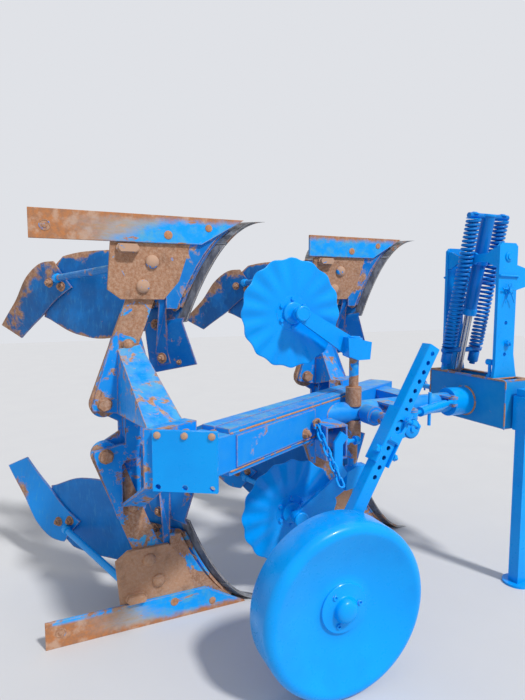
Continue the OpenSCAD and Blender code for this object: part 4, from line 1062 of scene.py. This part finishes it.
for side in (-1, 1):
    x = side * coil["off"]
    upperSeats.lathe(onCylinder(x, 0, seats["capAt"]), lengthwise, seats["cap"], 28)
    upperSeats.lathe(onCylinder(x, 0, seats["dishAt"]), -lengthwise, seats["dish"], 36)
    lowerSeats.bolt(onCylinder(x, 0, seats["nutAt"]), -lengthwise, 26, 14, 0, "hex", 8)
    lowerSeats.lathe(onCylinder(x, 0, seats["plateAt"]), lengthwise, seats["plate"], 36)
    eyeAt = onCylinder(side * seats["eyeOut"], 0, -math.hypot(*coil["foot"]))
    lowerSeats.lathe(eyeAt, (side, 0, 0), seats["eye"], 28)
    lowerSeats.lathe(onCylinder(x, 0, seats["bootAt"]), -lengthwise, seats["boot"], 36)
bar, r = seats["barLength"], seats["barRadius"]
lowerSeats.lathe(onCylinder(-bar / 2, 0, seats["barAt"]), (1, 0, 0),
                 [(0, -1), (r - 0.6, -1), (r, 0), (r, bar), (r - 0.6, bar + 1), (0, bar + 1)], 32)
upperSeats.make("upperSpringSeats", "blueBolts", "paint", "turn_cylinder")
# the lower seats take the darker gloss, a painted shade
lowerSeats.make("lowerSpringSeats", "springBluePaintedShade", "paint", "turn_rod")
collar = Shape()
collar.lathe(onCylinder(0, 0, seats["glandAt"]), lengthwise, seats["gland"], 40)
collar.lathe(onCylinder(0, 0, seats["topAt"]), lengthwise, seats["top"], 40)
for along in seats["portsAt"]:
    spot = onCylinder(0, seats["portOut"], along)
    collar.lathe(spot, onCylinder(0, seats["portOut"] + 1, along) - spot, seats["port"], 6)
collar.make("cylinderGland", "blueBolts", "paint", "turn_cylinder")
print("turnover cylinder detailed")


# one solid cut by another, for tubes with holes
def carve(solid, cutter):
    pair = []
    for shape in (solid, cutter):
        mesh = bpy.data.meshes.new("carving")
        mesh.from_pydata([tuple(v) for v in shape.verts], [], shape.faces)
        work = bmesh.new()
        work.from_mesh(mesh)
        bmesh.ops.recalc_face_normals(work, faces=work.faces)
        work.to_mesh(mesh)
        work.free()
        pair.append(bpy.data.objects.new("carving", mesh))
        scene.collection.objects.link(pair[-1])
    cut = pair[0].modifiers.new("cut", "BOOLEAN")
    cut.operation = "DIFFERENCE"
    cut.solver = "EXACT"
    cut.use_self = True
    cut.object = pair[1]
    bpy.context.view_layer.update()
    mesh = bpy.data.meshes.new_from_object(pair[0].evaluated_get(bpy.context.evaluated_depsgraph_get()))
    made = Shape()
    made.add([v.co.copy() for v in mesh.vertices], [tuple(f.vertices) for f in mesh.polygons])
    for obj in pair:
        old = obj.data
        bpy.data.objects.remove(obj)
        bpy.data.meshes.remove(old)
    bpy.data.meshes.remove(mesh)
    return made


# wheel arm: across and along run in the plane of the slanting leg, from the arm's pivot
arm = {
    "x": 1266, "slant": 29.6, "leg": -108.9, "middle": -455, "plateY": -422,
    "side": 50, "wall": 6, "legTop": 290, "legFoot": -663, "openFoot": -573, "round": 7,
    "holes": 14, "holeTop": 262, "pitch": 37.1, "hole": 17,
    "axle": [(0, 0), (18, 0), (20, 2), (20, 104), (24, 106), (24, 116), (20, 118), (0, 118)], "axleIn": 62,
    "sleeve": 67, "sleeveRound": 6, "play": 0.6, "top": 36, "flange": -171,
    "nearMouth": -85, "farMouth": -123,
    "slotAt": (-2, -26), "slotRadius": 19, "slotGrow": 8, "slotSteps": 28,
    "plateThick": 0.018, "plateRadius": 38, "plateCorners": [(-84, 35), (-84, -112)],
    "hub": [(25.15, 0), (36.5, 0), (38, 1.5), (38, 106), (40, 107), (40, 109), (38, 110), (25.15, 110),
            (25.15, 0)],
    "bevel": 0.0008,
}


def onArm(across, y, along):
    c, t = math.cos(math.radians(arm["slant"])), math.sin(math.radians(arm["slant"]))
    return at(arm["x"] + across * c + along * t, y, plough["axisHeight"] - across * t + along * c)


def armBox(shape, a0, a1, y0, y1, z0, z1, corner=0.0):
    # a bar along the leg, with rounded corners where corner is more than nought
    points = []
    for ca, cy, turn in ((a1, y1, 0), (a0, y1, 90), (a0, y0, 180), (a1, y0, 270)):
        for k in range(5 if corner else 1):
            a = math.radians(turn + (90 * k / 4 if corner else 45))
            da = (-corner if ca == a1 else corner) + corner * math.cos(a)
            dy = (-corner if cy == y1 else corner) + corner * math.sin(a)
            points.append(onArm(ca + (da if corner else 0), cy + (dy if corner else 0), z0))
    shape.plate(points, onArm(0, 0, z1) - onArm(0, 0, z0))


def legBox(shape, half, z0, z1, corner=0.0):
    armBox(shape, arm["leg"] - half, arm["leg"] + half, mid - half, mid + half, z0, z1, corner)


acrossLeg = onArm(1, 0, 0) - onArm(0, 0, 0)
mid = arm["middle"]
through = 60     # from the leg's middle to well outside it
tube, holes = Shape(), Shape()
legBox(tube, arm["side"] / 2, arm["legFoot"], arm["legTop"], arm["round"])
legBox(holes, arm["side"] / 2 - arm["wall"], arm["openFoot"], arm["legTop"] + 20)
for k in range(arm["holes"]):
    holes.lathe(onArm(arm["leg"], mid - through, arm["holeTop"] - k * arm["pitch"]), toLeft,
                [(arm["hole"] / 2, 0), (arm["hole"] / 2, 2 * through)], 24)
leg = carve(tube, holes)
leg.lathe(at(wheel["x"], wheel["faceY"] + arm["axleIn"], wheel["radius"]), toLeft, arm["axle"], 40)
made = piece("perforatedLeg", leg.verts, leg.faces, "glossChipped", bodyOf["wheel_leg"],
             38, arm["bevel"], fineGap)
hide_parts("wheel_leg")

sleeve, opening = Shape(), Shape()
half = arm["sleeve"] / 2
legBox(sleeve, half, arm["flange"], arm["top"], arm["sleeveRound"])
inner = arm["side"] / 2 + arm["play"]
legBox(opening, inner, arm["flange"] - 20, arm["top"] + 20)
# the mouth is open below, higher on the near side; its cutters end a little apart from each other
for y, low, mouth in ((mid - through, 21, arm["nearMouth"]), (mid, 22, arm["farMouth"])):
    armBox(opening, arm["leg"] - inner, arm["leg"] + inner, y, y + through, arm["flange"] - low, mouth)
slot = []
for k in range(arm["slotSteps"]):
    a = math.tau * k / arm["slotSteps"]
    grow = arm["slotGrow"] if math.sin(a) > 0 else -arm["slotGrow"]
    slot.append(onArm(arm["leg"] + arm["slotAt"][0] + arm["slotRadius"] * math.cos(a), mid - through,
                      arm["slotAt"][1] + grow + arm["slotRadius"] * math.sin(a)))
opening.plate(slot, (0, through / 1000, 0))
body = carve(sleeve, opening)
hubArc = [(arm["plateRadius"] * math.cos(math.radians(a)), arm["plateRadius"] * math.sin(math.radians(a)))
          for a in range(-102, 103, 12)]
body.plate([onArm(a, arm["plateY"], z) for a, z in hubArc + arm["plateCorners"]], (0, arm["plateThick"], 0))
ring = Shape()
ring.lathe(onArm(0, arm["plateY"], 0), toLeft, arm["hub"], 56)
ring.openEnds()
body.add(ring.verts, ring.faces)
made = piece("sleeveAndHub", body.verts, body.faces, "gloss", bodyOf["wheel_arm"], 38,
             arm["bevel"], fineGap)
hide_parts("wheel_arm")

# fixings of the sleeve: a cross bolt at its mouth, and a locking pin across its face, held in two eyes
fixing = {
    "boltDown": -128, "boltOut": 20, "pinOut": 9, "pinUp": 6, "pin": (2, 4, 64), "pinRadius": 6.5,
    "headAt": 58, "head": [(9, 0), (11, 1), (11, 7), (9, 8), (0, 8)],
    "eyes": (6, 27), "eye": [(9, 0), (11, 1), (11, 6), (9, 7), (0, 7)],
    "strip": (-80, -72), "stripHalf": 20, "bead": (-108, 34), "beadSize": 4,
    "pivotCap": [(34, 0), (34, 4), (31, 6), (12, 6), (10, 12), (0, 12)],
}
fixings = Shape()
sleeveFace = mid - half
for side, high, stub in ((1, 13, 9), (-1, 14, 0)):
    spot = onArm(arm["leg"] + side * half, mid - fixing["boltOut"], fixing["boltDown"])
    fixings.bolt(spot, acrossLeg * side, 24, high, 1.3, "hex", stub)
pinY = sleeveFace - fixing["pinOut"]
fixings.sweep([onArm(arm["leg"] + a, pinY, fixing["pinUp"]) for a in fixing["pin"]], fixing["pinRadius"], 16)
fixings.lathe(onArm(arm["leg"] + fixing["headAt"], pinY, fixing["pinUp"]), acrossLeg, fixing["head"], 24)
for a in fixing["eyes"]:
    fixings.lathe(onArm(arm["leg"] + a, pinY, fixing["pinUp"]), acrossLeg, fixing["eye"], 20)
    armBox(fixings, arm["leg"] + a + 1, arm["leg"] + a + 6, pinY, sleeveFace + 1, -2, 14)
armBox(fixings, arm["leg"] - fixing["stripHalf"], arm["leg"] + fixing["stripHalf"], sleeveFace - 3,
       sleeveFace + 0.5, *fixing["strip"])
fixings.bead([onArm(arm["leg"] + half + 0.5, arm["plateY"] + 2, z) for z in fixing["bead"]],
             fixing["beadSize"], seed=5)
fixings.lathe(onArm(0, arm["plateY"] + 1, 0), toRight, fixing["pivotCap"], 40)
fixings.make("sleeveFixings", "blueBolts", "paint", "wheel_arm")
print("wheel arm made")

# beam: flats along its top and bottom, a patch on its near side, and the flange's bolts and welds
beam = {
    "flatEnds": (122, 1064), "flatSides": (-30, 30), "flatHalf": 27, "flatAt": 59, "flatThick": 0.017,
    "flatBevel": 0.003, "patchEnds": (150, 640), "patchHalf": 52, "patchSides": (-59.5, -65.5),
    "patchBevel": 0.0015, "patchSeam": 3.2, "seamSides": (-58.5, 58.5, -2.5, 2.5), "seamEnds": (124, 1062),
    "seamUp": 60.5, "seamSize": 3.4, "mitreSize": 5,
    "mitre": 29.3, "mitreAt": -10, "mitreWeld": ((61, 61), (-61, 61), (-61, -61), (61, -61), (61, 61)),
    "boltSides": (-82, 0, 82), "boltUp": 78.5, "flange": 18,
}


def rectangle(a0, a1, b0, b1):
    return ((a0, b0), (a1, b0), (a1, b1), (a0, b1))


flats = Shape()
for up in (1, -1):
    for side in beam["flatSides"]:
        corners = rectangle(*beam["flatEnds"], side - beam["flatHalf"], side + beam["flatHalf"])
        flats.plate([onBeam(a, b, up * beam["flatAt"]) for a, b in corners], (0, 0, up * beam["flatThick"]))
flats.make("beamFlats", "beam", "worn_paint", "turning_frame", bevel=beam["flatBevel"])
patch = Shape()
half, (near, proud) = beam["patchHalf"], beam["patchSides"]
patch.plate([onBeam(a, near, b) for a, b in rectangle(*beam["patchEnds"], -half, half)],
            onBeam(0, proud, 0) - onBeam(0, near, 0))
patch.make("beamPatch", "beam", "worn_paint", "turning_frame", bevel=beam["patchBevel"])
welds = Shape()
for up in (beam["seamUp"], -beam["seamUp"]):
    for side in beam["seamSides"]:
        welds.bead([onBeam(a, side, up) for a in beam["seamEnds"]], beam["seamSize"], int(side + up))
    welds.bead([onBeam(beam["patchEnds"][1] + 0.5, near - 1.5, b) for b in (-half, half)],
               beam["patchSeam"], 7)
slope = math.tan(math.radians(beam["mitre"]))
welds.bead([onBeam(beam["mitreAt"] - b * slope + 2, b, c) for b, c in beam["mitreWeld"]],
           beam["mitreSize"], seed=3)
welds.make("beamWelds", "weldRust", "worn_paint", "turning_frame", 60)


def onFlange(out, side, up):
    # rearward out of the end flange's front face, along the flange, and over the axis
    a = math.radians(plough["beamAngle"] + beam["mitre"])
    c, t = math.cos(a), math.sin(a)
    return onBeam(beam["mitreAt"], 0, up) + Vector((-out * c - side * t, -out * t + side * c, 0)) / 1000


outward = onFlange(1, 0, 0) - onFlange(0, 0, 0)
studs = Shape()
for side in beam["boltSides"]:
    studs.bolt(onFlange(beam["flange"], side, beam["boltUp"]), outward, 19, 4, 1.15, "round")
    studs.bolt(onFlange(0, side, beam["boltUp"]), -outward, 24, 16, 1.4, "hex", 8)
studs.make("flangeBolts", "paleBolts", "worn_paint", "turning_frame")

# clamp box right of the beam with its bent strap, and the eye that holds the chain
clampBox = {
    "ground": ((1004, -250), (1100, -250), (1100, -108), (1004, -164)), "low": 640, "high": 766, "wall": 8,
    "ends": ((1004, -250, -164), (1092, -250, -112)),      # x, and y from and to
    "strapY": -250, "strapThick": 0.012,
    "strap": ((1066, 752), (1034, 712), (1035, 614), (1072, 562), (1094, 584), (1072, 622), (1072, 700),
              (1096, 730)),
    "screw": (1098, 1168), "screwY": -232, "screwZ": 702, "screwRadius": 8, "bevel": 0.0015,
    "nuts": ((1144, 30, 16, 1.2), (1100, 26, 13, 1.3)),     # x, size, height, washer
}
box = Shape()
for z in (clampBox["high"], clampBox["low"]):
    box.plate([at(x, y, z) for x, y in clampBox["ground"]], (0, 0, clampBox["wall"] / 1000))
for x, y0, y1 in clampBox["ends"]:
    corners = rectangle(y0, y1, clampBox["low"] + clampBox["wall"], clampBox["high"])
    box.plate([at(x, y, z) for y, z in corners], (clampBox["wall"] / 1000, 0, 0))
box.make("clampBox", "bracket", "worn_paint", "turning_frame", bevel=clampBox["bevel"])
strap = Shape()
strap.plate([at(x, clampBox["strapY"], z) for x, z in clampBox["strap"]], (0, -clampBox["strapThick"], 0))
strap.sweep([at(x, clampBox["screwY"], clampBox["screwZ"]) for x in clampBox["screw"]],
            clampBox["screwRadius"], 16)
for x, across, high, washer in clampBox["nuts"]:
    strap.bolt(at(x, clampBox["screwY"], clampBox["screwZ"]), (1, 0, 0), across, high, washer)
strap.make("clampStrap", "gloss", "paint", "turning_frame", bevel=clampBox["bevel"])
chainEye = {
    "rod": ((630, -60, -8), (985, -200, 773)), "rodRadius": 7, "ring": (985, -212, 782), "ringRadius": 15,
    "sway": 4, "wire": 5, "nuts": ((630, -8, 0), (560, -30, 9)),      # along the beam, up, thread
}
eyebolt = Shape()
eyebolt.sweep([onBeam(*chainEye["rod"][0]), at(*chainEye["rod"][1])], chainEye["rodRadius"], 16)
(x, y, z), r = chainEye["ring"], chainEye["ringRadius"]
ringPath = [at(x + r * math.cos(a), y + chainEye["sway"] * math.cos(a), z + r * math.sin(a))
            for a in (math.tau * k / 24 for k in range(24))]
eyebolt.sweep(ringPath, chainEye["wire"], 10, closed=True)
outOfPatch = onBeam(0, -1, 0) - onBeam(0, 0, 0)
for along, up, stub in chainEye["nuts"]:
    eyebolt.bolt(onBeam(along, beam["patchSides"][1], up), outOfPatch, 28, 14, 1.4, "hex", stub)
eyebolt.make("chainEye", "bolts", "worn_paint", "turning_frame")
print("beam detailed")

# coulter arms: clamped heads on the stems; heights from the turnover axis
coulter = {
    "y": -136, "thick": 52, "bevel": 0.002,
    "outline": ((1172, 321), (1226, 312), (1288, 298), (1281, 226), (1222, 225), (1178, 243)),
    "boltX": 1268, "boltHeights": (246, 280), "stem": (1225, -100, 308),
    "stemCap": [(24, 0), (24, 12), (22, 14), (20, 14), (18, 9), (0, 9)], "lowerNut": (1191, -99, 482),
}
for lower in (False, True):
    sign = -1 if lower else 1
    head = Shape()
    head.plate([at(x, coulter["y"], plough["axisHeight"] + sign * z) for x, z in coulter["outline"]],
               (0, coulter["thick"] / 1000, 0))
    for z in coulter["boltHeights"]:
        spot = at(coulter["boltX"], coulter["y"] + coulter["thick"], plough["axisHeight"] + sign * z)
        head.bolt(spot, toLeft, 22, 14, 1.3, "hex", 8)
    x, y, z = coulter["stem"]
    head.lathe(at(x, y, plough["axisHeight"] + sign * z), (0, 0, sign), coulter["stemCap"], 40)
    head.make("coulterClamp" + ("Lower" if lower else "Upper"), "gloss", "paint",
              "coulter_lower" if lower else "coulter_upper", bevel=coulter["bevel"])
nut = Shape()
nut.bolt(at(*coulter["lowerNut"]), toRight, 22, 8, 1.3)
nut.make("coulterNutLower", "orangeBolts", "paint", "coulter_lower")

# headstock: rusted rims of the trough, welds, the waisted plates between its posts
headstock = {
    "rimsAcross": (1853, 1984), "acrossEnds": (-315, 145), "acrossWide": 25, "acrossAt": 899.5,
    "rimsAlong": (-316, 125), "alongEnds": (1878, 1984), "alongWide": 21, "alongAt": 899, "rimThick": 0.006,
    "rimBevel": 0.0012, "ringSize": 4.5, "postSize": 4, "wallSize": 3.5,
    "ringX": 1859, "postSeams": (-249, -229, 59, 79), "postEnds": ((1866, 902), (1996, 902)),
    "wallSeams": (-315.5, 145.5), "wallEnds": ((1860, 688), (1860, 898)),
}
rims = Shape()
for x in headstock["rimsAcross"]:
    corners = rectangle(x, x + headstock["acrossWide"], *headstock["acrossEnds"])
    rims.plate([at(a, b, headstock["acrossAt"]) for a, b in corners], (0, 0, headstock["rimThick"]))
for y in headstock["rimsAlong"]:
    corners = rectangle(*headstock["alongEnds"], y, y + headstock["alongWide"])
    rims.plate([at(a, b, headstock["alongAt"]) for a, b in corners], (0, 0, headstock["rimThick"]))
rims.make("troughRims", "legs", "worn_paint", "headstock", bevel=headstock["rimBevel"])
seams = Shape()
reach = (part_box("shaft_bearing")[1].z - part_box("shaft_bearing")[0].z) * 500 + 1.5
ringPath = [at(headstock["ringX"], plough["axisY"] + reach * math.cos(math.tau * k / 40),
               plough["axisHeight"] + reach * math.sin(math.tau * k / 40)) for k in range(41)]
seams.bead(ringPath, headstock["ringSize"], seed=21)
for y in headstock["postSeams"]:
    seams.bead([at(x, y, z) for x, z in headstock["postEnds"]], headstock["postSize"], int(y))
for y in headstock["wallSeams"]:
    seams.bead([at(x, y, z) for x, z in headstock["wallEnds"]], headstock["wallSize"], int(y))
seams.make("headstockWelds", "weldRust", "worn_paint", "headstock", 60)
bridgeShape = {
    "plates": (1871, 1963), "thick": 0.012, "bevel": 0.001,
    "halfHeights": ((-232, 42), (-214, 40), (-176, 20), (-117, 18), (-103, 27), (-67, 27), (-53, 18), (6, 20),
                    (44, 40), (62, 42)),
}
bridge = Shape()
for x in bridgeShape["plates"]:
    outline = bridgeShape["halfHeights"]
    bridge.plate([at(x, y, coil["z"] + z) for y, z in outline]
                 + [at(x, y, coil["z"] - z) for y, z in reversed(outline)], (bridgeShape["thick"], 0, 0))
made = bridge.make("towerBridge", "gloss", slots["tower_bridge"], bodyOf["tower_bridge"],
                   bevel=bridgeShape["bevel"])
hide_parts("tower_bridge")

# pins of the posts with spring clips, a bent strap over the link's bracket, and the locking lever
postPins = {
    "sides": ((-1, -247), (1, 77)), "x": 1923, "lowZ": 1290, "highZ": 1440, "nut": (1935, 1060),
    "low": [(17, -1), (17, 5), (15, 7), (9, 7), (9, 20), (7, 22), (0, 22)],
    "high": [(21, -1), (21, 4), (19, 6), (12, 6), (12, 10), (0, 10)],
    "clips": (((1899, 1236), (1934, 1322), 14, 2.6), ((1948, 1240), (1908, 1320), 17, 2.6),
              ((1884, 1301), (1962, 1296), 12, 3.4)),      # foot, head, distance from the post, radius
    "strap": ((1868, 1362), (1872, 1358), (1974, 1356), (1980, 1350)), "strapRadius": 5,
}
pins = Shape()
for side, y in postPins["sides"]:
    out = (0, side, 0)
    pins.lathe(at(postPins["x"], y, postPins["lowZ"]), out, postPins["low"], 28)
    for foot, head, gap, radius in postPins["clips"]:
        pins.sweep([at(x, y + side * gap, z) for x, z in (foot, head)], radius, 10)
    pins.lathe(at(postPins["x"], y, postPins["highZ"]), out, postPins["high"], 28)
    x, z = postPins["nut"]
    pins.bolt(at(x, y, z), out, 26, 14, 1.3, "hex", 8)
    pins.sweep([at(x, y + side * 5, z) for x, z in postPins["strap"]], postPins["strapRadius"], 10)
lever = {
    "y": -206, "path": ((1880, 896), (1881, 930), (1881, 968)), "radius": 6, "flat": 1.4,
    "grip": (1881, -223, 973), "gripProfile": [(11, 0), (13.5, 2), (13.5, 31), (11, 33), (0, 33)],
    "hub": (1880, -217, 908), "hubProfile": [(11, 0), (11, 20), (9, 22), (0, 22)],
}
pins.sweep([at(x, lever["y"], z) for x, z in lever["path"]], lever["radius"], 14, flat=lever["flat"],
           lay=toLeft)
pins.lathe(at(*lever["grip"]), toLeft, lever["gripProfile"], 32)
pins.lathe(at(*lever["hub"]), toLeft, lever["hubProfile"], 24)
pins.make("postPins", "blueBolts", "paint", "headstock")

# lower hitch pins: a shoulder, and a linch pin with its spring ring
hitch = {
    "x": 2050, "z": 760, "half": 412.5, "shoulderIn": 14, "sides": 40,
    "shoulder": [(29, 0), (37, 0), (38, 2), (38, 13), (36, 15), (13, 15)],
    "pinOut": 76, "pin": (-26, -24, 30), "pinRadius": 5, "ring": 21, "ringTop": 30, "ringWire": 2.2,
}
hitchPins = Shape()
turns = [math.tau * k / 28 for k in range(28)]
for side in (-1, 1):
    shoulder = plough["axisY"] + side * hitch["half"]
    hitchPins.lathe(at(hitch["x"], shoulder - side * hitch["shoulderIn"], hitch["z"]), (0, side, 0),
                    hitch["shoulder"], hitch["sides"])
    spot = at(hitch["x"], shoulder + side * hitch["pinOut"], hitch["z"])
    hitchPins.sweep([spot + Vector((0, 0, z / 1000)) for z in hitch["pin"]], hitch["pinRadius"], 14)
    r = hitch["ring"]
    ringPath = [spot + Vector((2, side * (4 + r * math.sin(a)),
                               hitch["ringTop"] - r * (1 - math.cos(a)))) / 1000 for a in turns]
    hitchPins.sweep(ringPath, hitch["ringWire"], 8, closed=True)
# the hitch pins take the darker gloss, a painted shade
hitchPins.make("hitchPins", "springBluePaintedShade", "paint", "headstock")
print("headstock detailed")

# floor and light
stage = {"floorHalf": 14, "floorRough": 0.85, "skyTone": (0.93, 0.95, 1.0, 1)}
bpy.ops.mesh.primitive_plane_add(size=stage["floorHalf"] * 2, location=(0, 0, 0))
floor = bpy.context.object
floor.name = "studioFloor"
floorFinish = Finish("studioFloor")
floorTone = floorFinish.blend(floorFinish.noise(3, 4), "floorGrey", "floorPale")
floor.data.materials.append(floorFinish.done(floorTone, stage["floorRough"]))

light = {"sun": 2.6, "sunSoft": 6, "sunFrom": (0.38, -1.0, 1.30), "sky": 0.56, "backdrop": 0.80}
sun = bpy.data.objects.new("keyLight", bpy.data.lights.new("keyLight", "SUN"))
sun.data.energy = light["sun"]
sun.data.angle = math.radians(light["sunSoft"])
sun.rotation_euler = Vector(light["sunFrom"]).to_track_quat("Z", "Y").to_euler()
scene.collection.objects.link(sun)
world = bpy.data.worlds.new("studio")
scene.world = world
world.use_nodes = True
skyNodes, skyLinks = world.node_tree.nodes, world.node_tree.links
sky = skyNodes["Background"]
sky.inputs["Color"].default_value = stage["skyTone"]
# what the camera, metal and glass see of the sky is paler than what lights the plough
rays = skyNodes.new("ShaderNodeLightPath")
seen = rays.outputs["Is Camera Ray"]
for other in ("Is Glossy Ray", "Is Transmission Ray"):
    either = skyNodes.new("ShaderNodeMath")
    either.operation = "MAXIMUM"
    skyLinks.new(seen, either.inputs[0])
    skyLinks.new(rays.outputs[other], either.inputs[1])
    seen = either.outputs[0]
strength = skyNodes.new("ShaderNodeMapRange")
strength.inputs["To Min"].default_value = light["sky"]
strength.inputs["To Max"].default_value = light["backdrop"]
skyLinks.new(seen, strength.inputs["Value"])
skyLinks.new(strength.outputs["Result"], sky.inputs["Strength"])
scene.view_settings.view_transform = "Standard"
print("floor and light set")
